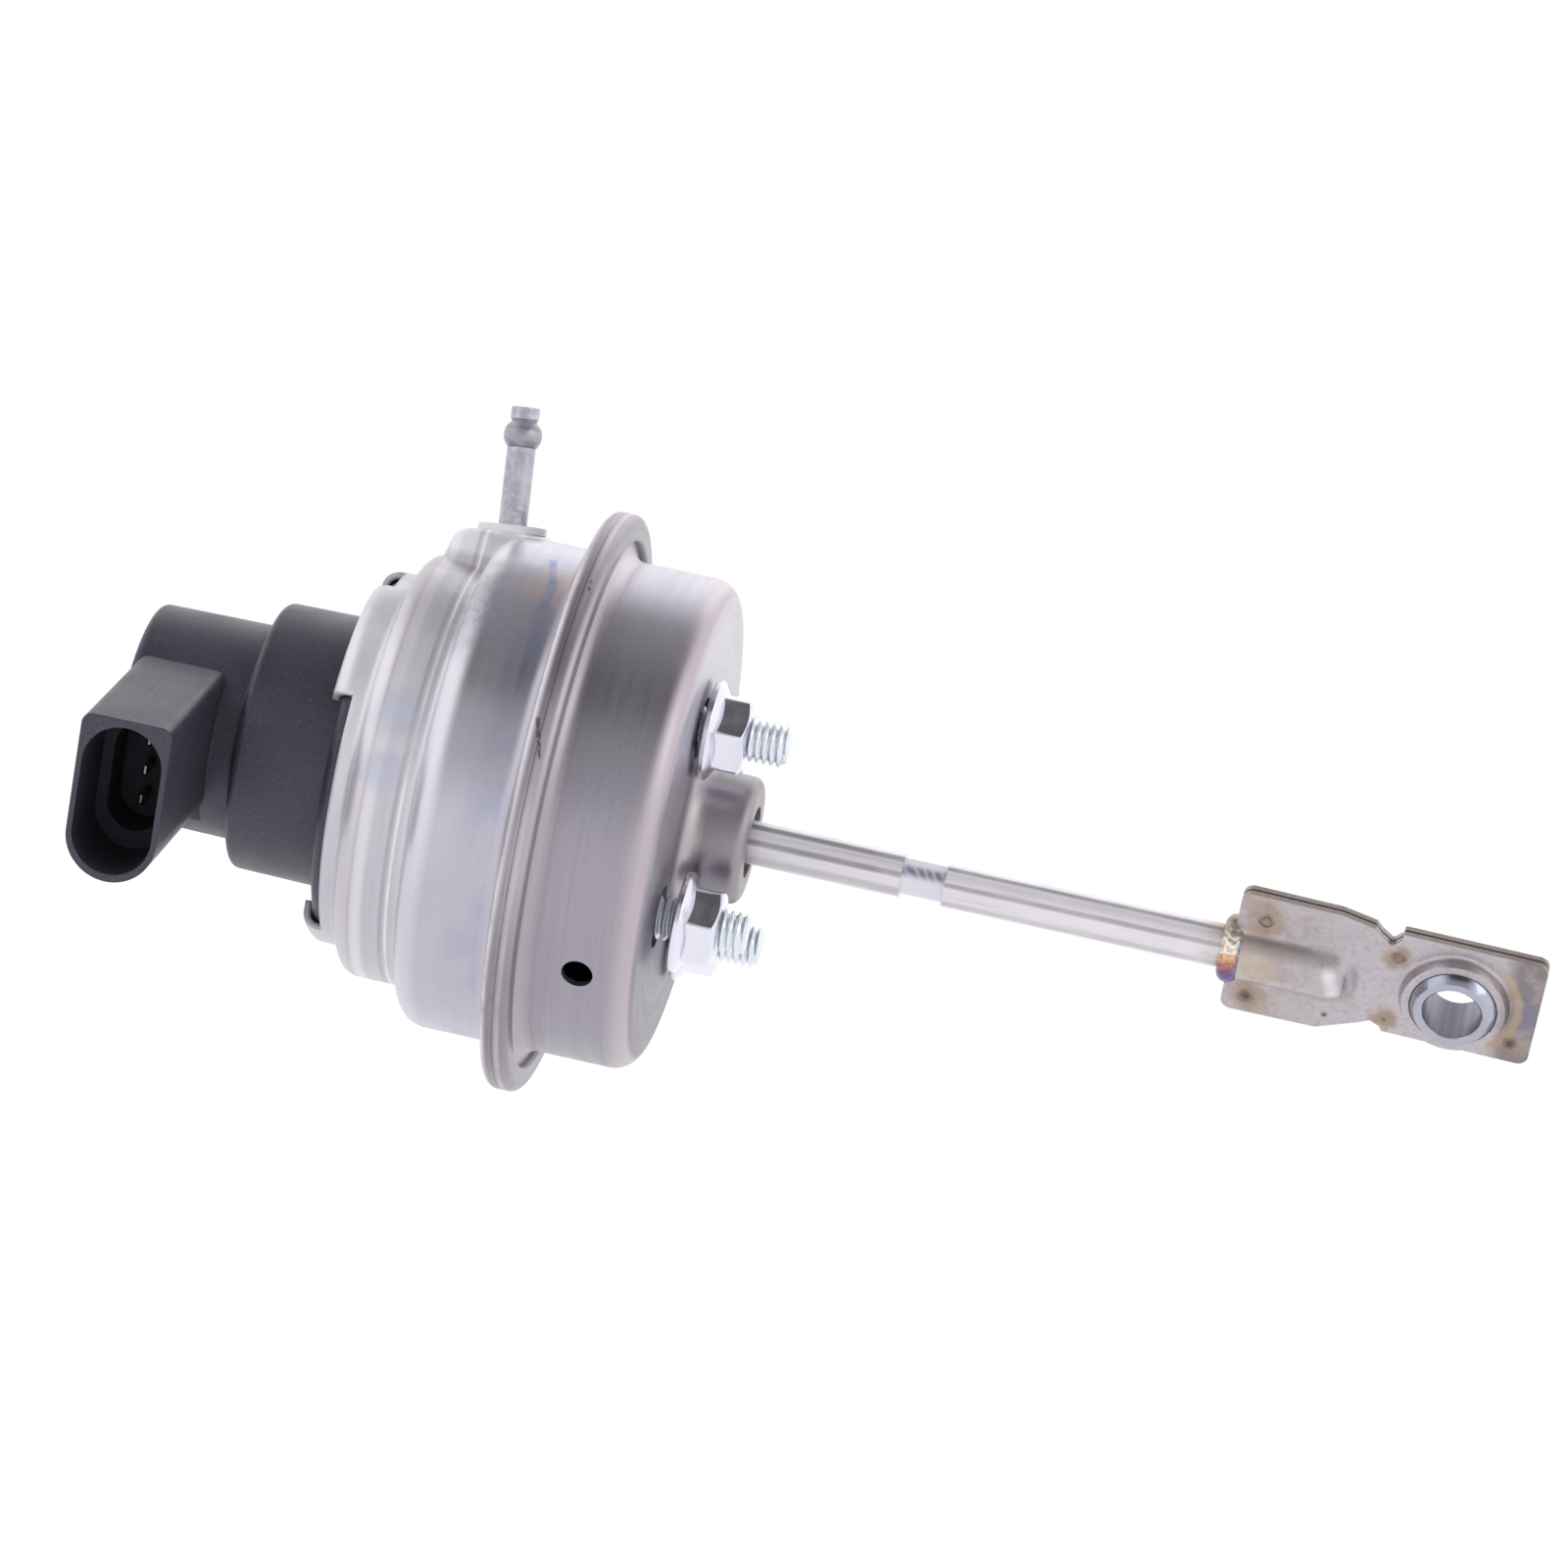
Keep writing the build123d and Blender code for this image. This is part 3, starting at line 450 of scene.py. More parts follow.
# %% Front can
def front_can_finish():
    material, shader, place = start_finish("front_can_satin", metallic=0.92)
    rings = use(turned_rings, place, 5.0, 0.6)
    cloud = use(grain_and_smudges, place, 0.22, 14.0)
    x, z = in_mm(place, "XZ")
    # Painted highlight: the top of the front can's wall is painted paler.
    over_top = times(above(z, 25.5, 31.0), below(x, -1.5, -0.6))
    on_face = above(x, -0.7, -0.3)
    # Painted reflection: a pale pinkish band on the wall near the rim.
    drawn_root = below(x, -17.0, -11.5)
    # Painted highlight: a pinkish line along the front corner.
    corner = times(above(x, -4.0, -1.2), below(x, -0.6, -0.1))
    # Painted highlight: the root of the hub is painted paler.
    hub_root = times(above(x, 0.1, 0.7), below(x, 1.4, 2.8))
    colour = layered(
        mixed(cloud["Smudges"], (158, 154, 165), (170, 165, 176)),
        (above(rings["Rings"], 0.35, 0.75), 0.3, (142, 137, 147)),
        (over_top, 0.5, (210, 206, 217)),
        # Painted light and shade on the face: paler towards the top, darker towards the bottom.
        (times(on_face, above(z, 6.0, 26.0)), 0.5, (228, 223, 231)),
        (times(on_face, below(z, -22.0, -2.0)), 0.5, (96, 92, 100)),
        (drawn_root, 0.5, (186, 176, 182)),
        (corner, 0.6, (200, 187, 191)),
        (above(x, 0.4, 1.5), 0.5, (160, 153, 152)),
        (hub_root, 0.5, (204, 194, 194)),
    )
    rough = plus(between(rings["Bands"], 0.2, 0.8, 0.34, 0.42), above(x, 0.6, 2.0, 0.06))
    paint(shader, colour, rough, bumped(rings["Rings"], 0.0025, bumped(cloud["Grain"], 0.003)))
    return material


front_can_satin = front_can_finish()
print("finish:", front_can_satin.name)

# %% Marks on the rear can
shoulder_radius = 34.5
neck_radius = 29.7
rim_radius = 40.5


def on_can(radius, x, turn):
    """A point on the can's wall; turn is in degrees from the nipple towards the socket's side."""
    return Vector((x, -radius * sin(radians(turn)), radius * cos(radians(turn)))) * mm


def can_line(radius, start, end, *more):
    """A line on the can's wall from one x and turn to another, with its width and strength."""
    return (on_can(radius, *start), on_can(radius, *end), *more)


dull_patch = on_can(shoulder_radius, -26.5, 46.0)
bronze_patch = on_can(shoulder_radius, -21.5, 36.0)
neck_tints = ((on_can(neck_radius, -38.0, 76.0), 5.0), (on_can(neck_radius, -38.4, 92.0), 4.0))
# Rings round the can, each with its low and high x, its share and its shade: on the rolled rim a painted
# highlight on its rear edge, a band of painted shade, a dark seam and a pinkish painted reflection; a band
# of painted shade and a painted highlight where the neck meets the shoulder; and a tan line by the seat.
sheet_lines = (
    (-19.4, -18.1, 0.8, (226, 220, 224)), (-18.2, -17.3, 0.5, (128, 122, 130)),
    (-17.4, -17.0, 0.6, (96, 90, 96)), (-17.1, -16.0, 0.6, (204, 190, 194)),
    (-36.2, -35.3, 0.4, (138, 132, 140)), (-35.3, -34.6, 0.7, (255, 250, 250)),
    (-40.6, -39.9, 0.35, (184, 158, 150)),
)
heat_streaks = (
    can_line(shoulder_radius, (-24.2, 24.0), (-22.8, 34.0), 1.6, 0.7),
    can_line(shoulder_radius, (-22.8, 34.0), (-22.6, 44.0), 2.2, 0.55),
    can_line(shoulder_radius, (-22.6, 44.0), (-22.0, 62.0), 3.2, 0.35),
)
rim_scratches = (
    can_line(rim_radius, (-18.0, 75.5), (-17.2, 79.5), 0.9),
    can_line(rim_radius, (-17.0, 80.0), (-16.6, 82.5), 0.6),
    can_line(rim_radius, (-16.6, 43.0), (-16.5, 45.5), 0.5),
)
press_folds = (
    (on_can(neck_radius + 0.5, -38.6, 8.0), on_can(neck_radius + 0.6, -34.6, 14.5), 1.1, 0.16),
    can_line(neck_radius, (-37.5, 41.5), (-36.3, 46.0), 1.5, -0.03),
    can_line(neck_radius, (-36.6, 46.5), (-35.2, 50.0), 1.3, -0.025),
)
print("marks:", len(sheet_lines), "rings,", len(heat_streaks + rim_scratches), "lines")


# %% Rear can
def rear_can_finish():
    material, shader, place = start_finish("rear_can_satin")
    rings = use(turned_rings, place, 6.0, 0.5)
    cloud = use(grain_and_smudges, place, 0.3, 9.0)
    mottle = use(grain_and_smudges, place, 0.7, 3.0)
    smudges = cloud["Smudges"]
    x, y, z = in_mm(place, "XYZ")
    on_pad = times(above(z, 29.5, 31.5), below(x, -31.5, -29.5), below(size_of(y), 7.5, 10.5))
    off_pad = maths("SUBTRACT", 1.0, on_pad)
    pickled = below(x, -36.0, -29.5)
    # Painted highlight on the rounding between neck and shoulder, stronger towards the top; it is also less
    # metallic there.
    rounding = times(above(x, -35.2, -33.4), below(x, -31.0, -29.0))
    rounding = times(rounding, between(z, -22.0, 2.0, 0.25, 0.85))
    banded = times(pickled, below(rings["Bands"], 0.35, 0.65), off_pad)
    # Painted light: the seat is painted paler, more so towards the top.
    seat = times(below(x, -40.5, -39.0), between(z, -20.0, 8.0, 0.1, 0.55))
    # Painted highlight on the neck's upper side.
    neck_shine = times(below(x, -36.0, -34.5), above(z, -8.0, 10.0), below(z, 12.0, 24.0))
    # Painted highlight on the neck's rear rounding.
    neck_light = times(above(x, -40.4, -39.4), below(x, -38.9, -38.1))
    near_rim = times(above(x, -28.0, -23.0), below(x, -21.4, -19.8), above(smudges, 0.38, 0.62))
    colour = layered(
        mixed(smudges, (184, 181, 192), (200, 197, 208)),
        (above(rings["Rings"], 0.35, 0.75), 0.25, (170, 168, 178)),
        (pickled, 0.8, (210, 206, 216)),
        (rounding, 1.0, (236, 234, 242)),
        (banded, 0.24, (180, 175, 186)),
        (on_pad, 0.35, (226, 222, 231)),
        (seat, 1.0, (240, 237, 244)),
        (neck_shine, 0.5, (242, 239, 246)),
        (neck_light, 0.6, (240, 238, 244)),
        (near_rim, 0.42, (150, 158, 190)),
    )
    for centre, radius in neck_tints:
        tint = use(stain, place, centre, radius, 0.4, 4.0)["Stain"]
        colour = layered(colour, (tint, 0.4, (176, 184, 214)))

    # Painted shade: a band round the upper wall, stronger in patches.
    over_top = times(above(z, 14.0, 24.0), below(z, 29.6, 31.0))
    rolled = above(x, -20.0, -19.4)
    # Painted shade: the rolled rim is darker towards its top and bottom.
    from_middle = size_of(maths("SUBTRACT", z, 6.0))
    colour = layered(
        colour,
        (over_top, between(smudges, 0.36, 0.58, 0.12, 0.5), (152, 146, 153)),
        (rolled, 1.0, (174, 169, 177)),
        (times(rolled, above(from_middle, 14.0, 32.0)), 0.6, (126, 120, 128)),
    )
    uneven = between(smudges, 0.3, 0.6, 0.4, 1.0)
    half_gap = 0.05
    # Lays the rings listed above: painted highlights and painted shade, a seam and a tan line.
    for low, high, share, shade in sheet_lines:
        middle = (low + high) / 2.0
        line = times(above(x, low, middle - half_gap), below(x, middle + half_gap, high))
        colour = layered(colour, (line, times(uneven, share), shade))

    dull = use(stain, place, dull_patch, 12.5, 0.35, 5.0)["Stain"]
    bronze = use(stain, place, bronze_patch, 7.0, 0.5, 3.0)["Stain"]
    colour = layered(
        colour,
        (dull, between(mottle["Grain"], 0.35, 0.65, 0.45, 0.75), (156, 154, 166)),
        (bronze, 0.4, (190, 168, 158)),
    )
    for start, end, width, share in heat_streaks:
        streak = use(line_mark, place, start, end, width)["Mark"]
        soft = times(streak, above(mottle["Smudges"], 0.3, 0.6))
        colour = layered(colour, (soft, share, (126, 134, 172)))
    for start, end, width in rim_scratches:
        scratch = use(line_mark, place, start, end, width)["Mark"]
        ragged = times(scratch, above(mottle["Grain"], 0.4, 0.5))
        colour = layered(colour, (ragged, 0.75, (78, 74, 80)))

    matt = maths("MAXIMUM", pickled, rounding)
    link(between(matt, 0.0, 1.0, 0.9, 0.38), shader.inputs["Metallic"])
    rough = plus(between(rings["Bands"], 0.2, 0.8, 0.3, 0.38), times(dull, 0.14))
    folds = 0.0
    for start, end, width, depth in press_folds:
        folds = plus(folds, times(use(line_mark, place, start, end, width)["Mark"], depth))
    pressed = bumped(folds, 1.0, soft_edges(shader, between(x, -20.6, -19.8, 0.9, 1.3)))
    dimpled = bumped(times(mottle["Grain"], dull), 0.012, pressed)
    fine = bumped(cloud["Grain"], 0.003, dimpled)
    paint(shader, colour, rough, bumped(times(rings["Rings"], off_pad), 0.003, fine))
    return material


rear_can_satin = rear_can_finish()
print("finish:", rear_can_satin.name)

# %% [markdown]
# ## Steel small parts
# The nipple is dull steel, and the nuts and studs are bright zinc with a blue tint. They get their
# grain from the same groups, at a finer size.


# %% Plated and turned steel
def small_steel_finish(name, dark, light, rough, ring_depth=0.004, rings_per_mm=8.0, metallic=1.0):
    """Turned or pressed steel between two tones, with rings round the X axis."""
    material, shader, place = start_finish(name, metallic)
    rings = use(turned_rings, place, rings_per_mm, 0.8)
    cloud = use(grain_and_smudges, place, 0.18, 3.0)
    scuffs = above(rings["Bands"], 0.58, 0.72)
    colour = layered(mixed(cloud["Smudges"], dark, light), (scuffs, 0.3, (236, 234, 240)))
    rough = between(cloud["Smudges"], 0.3, 0.7, rough, rough + 0.1)
    fine = bumped(cloud["Grain"], 0.003)
    paint(shader, colour, rough, bumped(rings["Rings"], ring_depth, fine))
    return material


zinc_bright = small_steel_finish("nut_bright_zinc", (216, 216, 229), (234, 233, 245), 0.15)
zinc_thread = small_steel_finish(
    "stud_blue_zinc", (220, 227, 236), (236, 241, 247), 0.22, ring_depth=0.002,
    metallic=0.75,
)
print("finishes:", zinc_bright.name, zinc_thread.name)

# %% Nipple
nipple_lean = 5.9
nipple_foot = Vector((-32.7, 0.0, 34.4)) * mm
# Thin rings of painted shade at the barb's foot and in its groove, each with its low and high height and its
# share.
nipple_marks = ((11.75, 12.15, 0.7), (15.35, 15.85, 0.75), (14.2, 14.7, 0.3))


def nipple_finish():
    """Dull turned steel: a pale flange, a darker barb, thin rings of painted shade at the barb's foot and in
    its groove.
    """
    material, shader, place = start_finish("nipple_dull_steel", metallic=0.55)
    upright = node(
        place.id_data, "ShaderNodeVectorRotate",
        {
            "Vector": from_point(place, nipple_foot),
            "Rotation": (0.0, radians(90.0 + nipple_lean), 0.0),
        },
        rotation_type="EULER_XYZ",
    ).outputs[0]
    rings = use(turned_rings, upright, 8.0, 0.8)
    cloud = use(grain_and_smudges, place, 0.18, 2.4)
    up = in_mm(upright, "X")[0]
    radius = length_mm(vector("CROSS_PRODUCT", upright, (1.0, 0.0, 0.0))["Vector"])
    steel = above(cloud["Smudges"], 0.35, 0.65)
    barb = times(above(up, 11.9, 12.6), below(up, 14.8, 15.4))
    colour = layered(
        mixed(steel, (166, 162, 174), (200, 196, 207)),
        (barb, 0.5, (150, 146, 158)),
        (above(rings["Bands"], 0.56, 0.7), 0.35, (236, 234, 240)),
    )
    # Painted shade in each thin ring.
    for low, high, share in nipple_marks:
        middle = (low + high) / 2.0
        groove = times(above(up, low, middle), below(up, middle, high))
        colour = layered(colour, (groove, share, (92, 88, 98)))
    flange = times(above(radius, 2.6, 3.2, 0.85), below(up, 1.2, 1.6))
    colour = mixed(flange, colour, (244, 242, 248))
    link(between(flange, 0.0, 0.8, 0.55, 0.15), shader.inputs["Metallic"])
    rough = between(cloud["Smudges"], 0.3, 0.7, 0.28, 0.42)
    paint(shader, colour, rough, bumped(rings["Rings"], 0.005, bumped(cloud["Grain"], 0.004)))
    return material


nipple_steel = nipple_finish()
print("finish:", nipple_steel.name)

# %% [markdown]
# ## Rod
# The rod is drawn along its length. A few dark lines along it are painted reflections of the studio's
# dark band and painted shade on its underside, and the weld's heat tints its end. Its short neck is
# pale, with one milled side that is darker and bluer and full of scratches.

# %% Rod
rod_radius = 3.0
neck_start = 30.1
neck_end = 36.1
neck_edge = 0.2
milled_turn = 62.0
milled_width = 3.6
# Dark lines along the rod, each with its start, end, turn, width and share: painted reflections of the
# studio's dark band at two turns, and painted shade on the underside.
drawing_lines = (
    (8.0, 30.0, 42.0, 1.5, 0.72), (8.0, 30.0, 89.0, 1.25, 0.62), (8.0, 30.0, 142.0, 2.6, 0.3),
    (36.2, 76.0, 41.0, 1.1, 0.62), (36.2, 76.0, 90.0, 1.0, 0.5), (36.2, 76.0, 150.0, 2.0, 0.25),
)


def rod_line(place, start, end, turn, width):
    """A line along the rod; turn is in degrees from the top towards the picture's side."""
    ends = (on_can(rod_radius, x, turn) for x in (start, end))
    return use(line_mark, place, *ends, width)["Mark"]


def rod_finish():
    material, shader, place = start_finish("rod_brushed_steel", metallic=0.4)
    lines = use(brushed_lines, place, 5.0, 16.0)
    smudges = use(grain_and_smudges, place, 0.2, 6.0)["Smudges"]
    x = in_mm(place, "X")[0]
    colour = layered(
        mixed(lines["Streaks"], (228, 223, 230), (243, 239, 245)),
        (above(lines["Lines"], 0.54, 0.7), 0.18, (118, 112, 118)),
    )
    # Painted reflections and painted shade laid along the rod.
    for start, end, turn, width, share in drawing_lines:
        line = rod_line(place, start, end, turn, width)
        soft = times(line, between(smudges, 0.3, 0.6, 0.75, 1.0))
        colour = layered(colour, (soft, share, (96, 92, 98)))
    scorched = times(above(x, 70.5, 75.0), above(smudges, 0.3, 0.6))
    colour = layered(colour, (scorched, 0.55, (170, 138, 98)))

    on_neck = times(
        above(x, neck_start - neck_edge, neck_start + neck_edge),
        below(x, neck_end - neck_edge, neck_end + neck_edge),
    )
    slant = {"Vector": place, "Rotation": (0.0, radians(35), 0.0)}
    slanted = node(place.id_data, "ShaderNodeMapping", slant).outputs[0]
    marks = node(
        place.id_data, "ShaderNodeTexWave",
        {"Vector": slanted, "Scale": 300.0, "Distortion": 5.0, "Detail": 3.0},
        bands_direction="X",
    ).outputs["Fac"]
    milled = rod_line(place, neck_start, neck_end, milled_turn, milled_width)
    scratches = above(marks, 0.35, 0.95)
    blue = mixed(scratches, (128, 127, 146), (178, 178, 194))
    neck = mixed(milled, (232, 229, 238), blue)
    cut = times(scratches, on_neck, milled)
    paint(
        shader, mixed(on_neck, colour, neck), between(smudges, 0.3, 0.7, 0.4, 0.5),
        bumped(cut, 0.01, bumped(lines["Lines"], 0.008)),
    )
    return material


rod_steel = rod_finish()
print("finish:", rod_steel.name)

# %% [markdown]
# ## Stamped rod-end plates, the ball and the weld
# The plates are stainless with brown stains, small craters of spot welds and a straw arc beside the
# ball's collar, where heat coloured them. Light and shade at the end of the channel are laid on as
# line marks. The far end is duller, with a blue grey patch. The weld bead is pale gold in its middle,
# where a painted highlight lies, and runs through orange and purple to blue at its foot.

# %% Marks on the plates
plate_turn = 38.5
plate_up = Vector((0.0, -sin(radians(plate_turn)), cos(radians(plate_turn))))
plate_out = Vector((0.0, -cos(radians(plate_turn)), -sin(radians(plate_turn))))
bearing = Vector((106.9, 0.0, 0.0)) * mm
straw_radius = 8.7


def on_plate(x, height, out=1.0):
    """A point on the front plate's face."""
    return (Vector((x, 0.0, 0.0)) + plate_up * height + plate_out * out) * mm


spot_welds = (
    (on_plate(80.0, 6.7), 3.8, 0.8, 0.6, 0.3), (on_plate(79.0, -6.9), 3.4, 0.85, 0.65, 0.8),
    (on_plate(98.3, 5.4), 2.9, 0.75, 0.75, 0.4), (on_plate(98.1, -5.7), 2.6, 0.25, 0.75, 0.1),
    (on_plate(115.35, -5.1), 3.6, 0.8, 0.45, 0.8), (on_plate(90.05, -7.1), 0.9, 0.3, 0.3, 0.8),
)
# Painted light and shade by the channel, each with its ends, width, share and shade: a highlight on its
# upper edge, shade just below that, a highlight on the bulb at its end and a crescent of shade beyond the
# bulb.
channel_marks = (
    (on_plate(76.5, 3.9), on_plate(90.0, 3.5), 0.8, 0.6, (236, 226, 228)),
    (on_plate(84.0, 2.9), on_plate(90.5, 2.7), 1.6, 0.4, (132, 125, 132)),
    (on_plate(89.6, 1.4, 3.0), on_plate(90.4, -0.6, 3.0), 3.4, 0.65, (250, 248, 252)),
    (on_plate(92.5, 2.4), on_plate(93.0, -1.6), 1.1, 0.5, (126, 119, 124)),
)
print("marks:", len(spot_welds), "spot welds,", len(channel_marks), "lines by the channel")


# %% Plates
def plate_finish():
    material, shader, place = start_finish("plate_stained_stainless", metallic=0.85)
    cloud = use(grain_and_smudges, place, 0.3, 4.0)
    mottle = use(grain_and_smudges, place, 0.8, 12.0)
    smudges = cloud["Smudges"]
    x = in_mm(place, "X")[0]
    height = size_of(along_mm(place, plate_up))
    depth = size_of(along_mm(place, plate_out))

    gripping = times(below(x, 82.0, 92.0), above(smudges, 0.4, 0.6))
    by_weld = use(stain, place, on_plate(77.0, 1.5, 3.5), 7.0, 0.6, 3.5)["Stain"]
    far_end = times(above(x, 112.0, 115.0), between(smudges, 0.3, 0.55, 0.5, 1.0))
    blue = use(stain, place, on_plate(116.8, 0.2), 3.6, 0.35, 1.8)["Stain"]
    wander = maths("MULTIPLY_ADD", smudges, 1.0, -0.5)
    reach = plus(length_mm(from_point(place, bearing)), wander)
    off_ring = size_of(maths("SUBTRACT", reach, straw_radius))
    straw = times(below(off_ring, 0.15, 0.95), above(x, 110.5, 114.0))
    colour = layered(
        mixed(smudges, (172, 165, 170), (206, 200, 206)),
        (above(mottle["Grain"], 0.45, 0.7), 0.28, (136, 128, 130)),
        (gripping, 0.45, (160, 140, 124)),
        (by_weld, 0.4, (204, 184, 154)),
        (far_end, 0.9, (130, 121, 123)),
        (blue, 0.7, (112, 114, 134)),
        (straw, 0.6, (190, 166, 134)),
    )
    # Painted highlights and painted shade by the channel.
    for start, end, width, share, shade in channel_marks:
        mark = use(line_mark, place, start, end, width)["Mark"]
        colour = layered(colour, (mark, share, shade))

    tan = mixed(cloud["Grain"], (142, 116, 94), (168, 144, 120))
    lips, floors = 0.0, 0.0
    for spot, halo_radius, crater_radius, share, darkness in spot_welds:
        halo = use(stain, place, spot, halo_radius, 0.55, 1.8)["Stain"]
        colour = layered(colour, (halo, share, tan))
        pit = use(crater, place, spot, crater_radius)
        lips = plus(lips, pit["Lip"])
        floors = plus(floors, times(pit["Floor"], darkness))

    normal = place.id_data.nodes.new("ShaderNodeNewGeometry").outputs["Normal"]
    facing = size_of(vector("DOT_PRODUCT", normal, plate_out)["Value"])
    sheared = times(below(facing, 0.1, 0.35), above(height, 5.6, 6.2))
    # The cut edges are painted a darker, mottled brown.
    burnt = mixed(mottle["Grain"], (112, 98, 92), (190, 178, 172))
    colour = layered(
        colour,
        (lips, 0.45, (104, 88, 80)),
        (floors, 1.0, (78, 68, 66)),
        (sheared, 0.8, burnt),
        (below(depth, 0.1, 0.26), sheared, (58, 46, 44)),
    )
    in_channel = times(below(x, 93.0, 95.0), below(height, 4.8, 5.4))
    channel_end = times(in_channel, between(x, 85.5, 88.0, 1.0, 2.2))
    rounded = soft_edges(shader, plus(channel_end, 0.12))
    pitted = bumped(maths("SUBTRACT", lips, floors), 0.12, rounded)
    normal = bumped(cloud["Grain"], 0.005, bumped(mottle["Grain"], 0.012, pitted))
    paint(shader, colour, between(smudges, 0.3, 0.7, 0.3, 0.42), normal)
    return material


plate_steel = plate_finish()
print("finish:", plate_steel.name)


# %% Ball
def ball_finish():
    """Polished outside, and reamed with dull lines along the bore inside."""
    material, shader, place = start_finish("ball_polished_steel")
    across = vector("CROSS_PRODUCT", from_point(place, bearing), plate_out)["Vector"]
    in_bore = below(length_mm(across), 4.02, 4.14)
    smudges = use(grain_and_smudges, place, 0.2, 3.0)["Smudges"]
    reamed = noise(across, 2600.0, 2.0)
    polished = mixed(smudges, (158, 160, 176), (184, 186, 200))
    dull = mixed(reamed, (128, 124, 136), (168, 164, 178))
    paint(
        shader, mixed(in_bore, polished, dull), between(in_bore, 0.0, 1.0, 0.14, 0.42),
        bumped(times(reamed, in_bore), 0.012, soft_edges(shader, 0.25)),
    )
    return material


ball_steel = ball_finish()
print("finish:", ball_steel.name)

# %% Weld bead
# Colours of the bead from its foot up: heat tints, with a pale painted highlight at its middle.
weld_stops = (
    (0.0, (104, 98, 150)), (0.09, (134, 90, 120)), (0.18, (190, 134, 116)),
    (0.3, (236, 186, 138)), (0.42, (255, 246, 232)), (0.6, (250, 238, 220)),
    (0.76, (196, 182, 168)), (1.0, (150, 138, 130)),
)


def weld_finish():
    """Heat colours from the foot to the top with a pale painted highlight in the middle, a blue edge and the
    ripples of the bead.
    """
    material, shader, place = start_finish("weld_heat_colours_and_highlight", metallic=0.7)
    x, height = in_mm(place, "XZ")
    smudges = use(grain_and_smudges, place, 0.3, 2.0)["Smudges"]
    wander = maths("MULTIPLY_ADD", smudges, 2.0, -1.0)
    level = above(plus(height, wander), -5.0, 5.0)
    ramp = node(place.id_data, "ShaderNodeValToRGB", {"Fac": level})
    while len(ramp.color_ramp.elements) < len(weld_stops):
        ramp.color_ramp.elements.new(0.5)
    for element, (position, colour) in zip(ramp.color_ramp.elements, weld_stops):
        element.position = position
        element.color = tone(*colour)
    ripple = node(
        place.id_data, "ShaderNodeTexWave",
        {"Vector": place, "Scale": 260.0, "Distortion": 6.0, "Detail": 2.0, "Detail Scale": 2.0},
        bands_direction="Z",
    ).outputs["Fac"]
    blue_edge = times(above(plus(x, wander), 76.4, 77.2), below(height, 1.0, 3.0))
    colour = layered(
        ramp.outputs["Color"],
        (blue_edge, 0.8, (116, 116, 168)),
        (below(ripple, 0.0, 0.35), 0.35, (96, 74, 66)),
    )
    rough = between(smudges, 0.3, 0.7, 0.2, 0.34)
    paint(shader, colour, rough, bumped(ripple, 0.1, bumped(smudges, 0.25)))
    return material


weld_metal = weld_finish()
print("finish:", weld_metal.name)

# %% [markdown]
# ## Black plastic
# The sensor's housing and its socket are one moulding in black glass-filled plastic. It is satin,
# with a fine grain and pale specks of glass, slightly rounded edges, a parting line of the mould on
# the socket and on the round body, and painted shade makes it darkest inside the socket.


# %% Plastics
def plastic_finish(name, dark, light, rough, grain_depth=0.012):
    material, shader, place = start_finish(name, metallic=0.0)
    cloud = use(grain_and_smudges, place, 0.3, 8.0)
    paint(
        shader, mixed(cloud["Smudges"], dark, light),
        between(cloud["Smudges"], 0.3, 0.7, rough, rough + 0.1),
        bumped(cloud["Grain"], grain_depth, soft_edges(shader, 0.25)),
    )
    return material


carrier_grey = plastic_finish("carrier_natural_plastic", (96, 94, 90), (112, 110, 104), 0.4)
bush_brown = plastic_finish("bush_bearing_plastic", (78, 66, 52), (92, 80, 64), 0.36)
rubber_black = plastic_finish("moulded_rubber", (28, 28, 29), (36, 36, 38), 0.6, 0.02)
resin_black = plastic_finish("sensor_resin", (26, 26, 28), (34, 34, 36), 0.35)
board_green = plastic_finish("board_green", (22, 74, 48), (30, 92, 60), 0.3, 0.004)
print("plastics: 5")

# %% Housing and socket
socket_turn = radians(18.0)
socket_out = Vector((0.0, -cos(socket_turn), -sin(socket_turn)))
socket_up = Vector((0.0, -sin(socket_turn), cos(socket_turn)))
socket_mouth = (Vector((-70.8, 0.0, 0.0)) + socket_out * 40.2) * mm
mould_radius = 14.93


def in_socket(aside, up, back):
    """A point by the socket's mouth: aside along X, up across the mouth, back into the socket."""
    return socket_mouth + (Vector((aside, 0.0, 0.0)) + socket_up * up - socket_out * back) * mm


parting_lines = (
    (in_socket(-0.3, 11.35, 0.2), in_socket(-0.3, 11.35, 25.0), 0.3),
    can_line(mould_radius, (-71.8, 10.0), (-71.6, 60.0), 0.25),
)


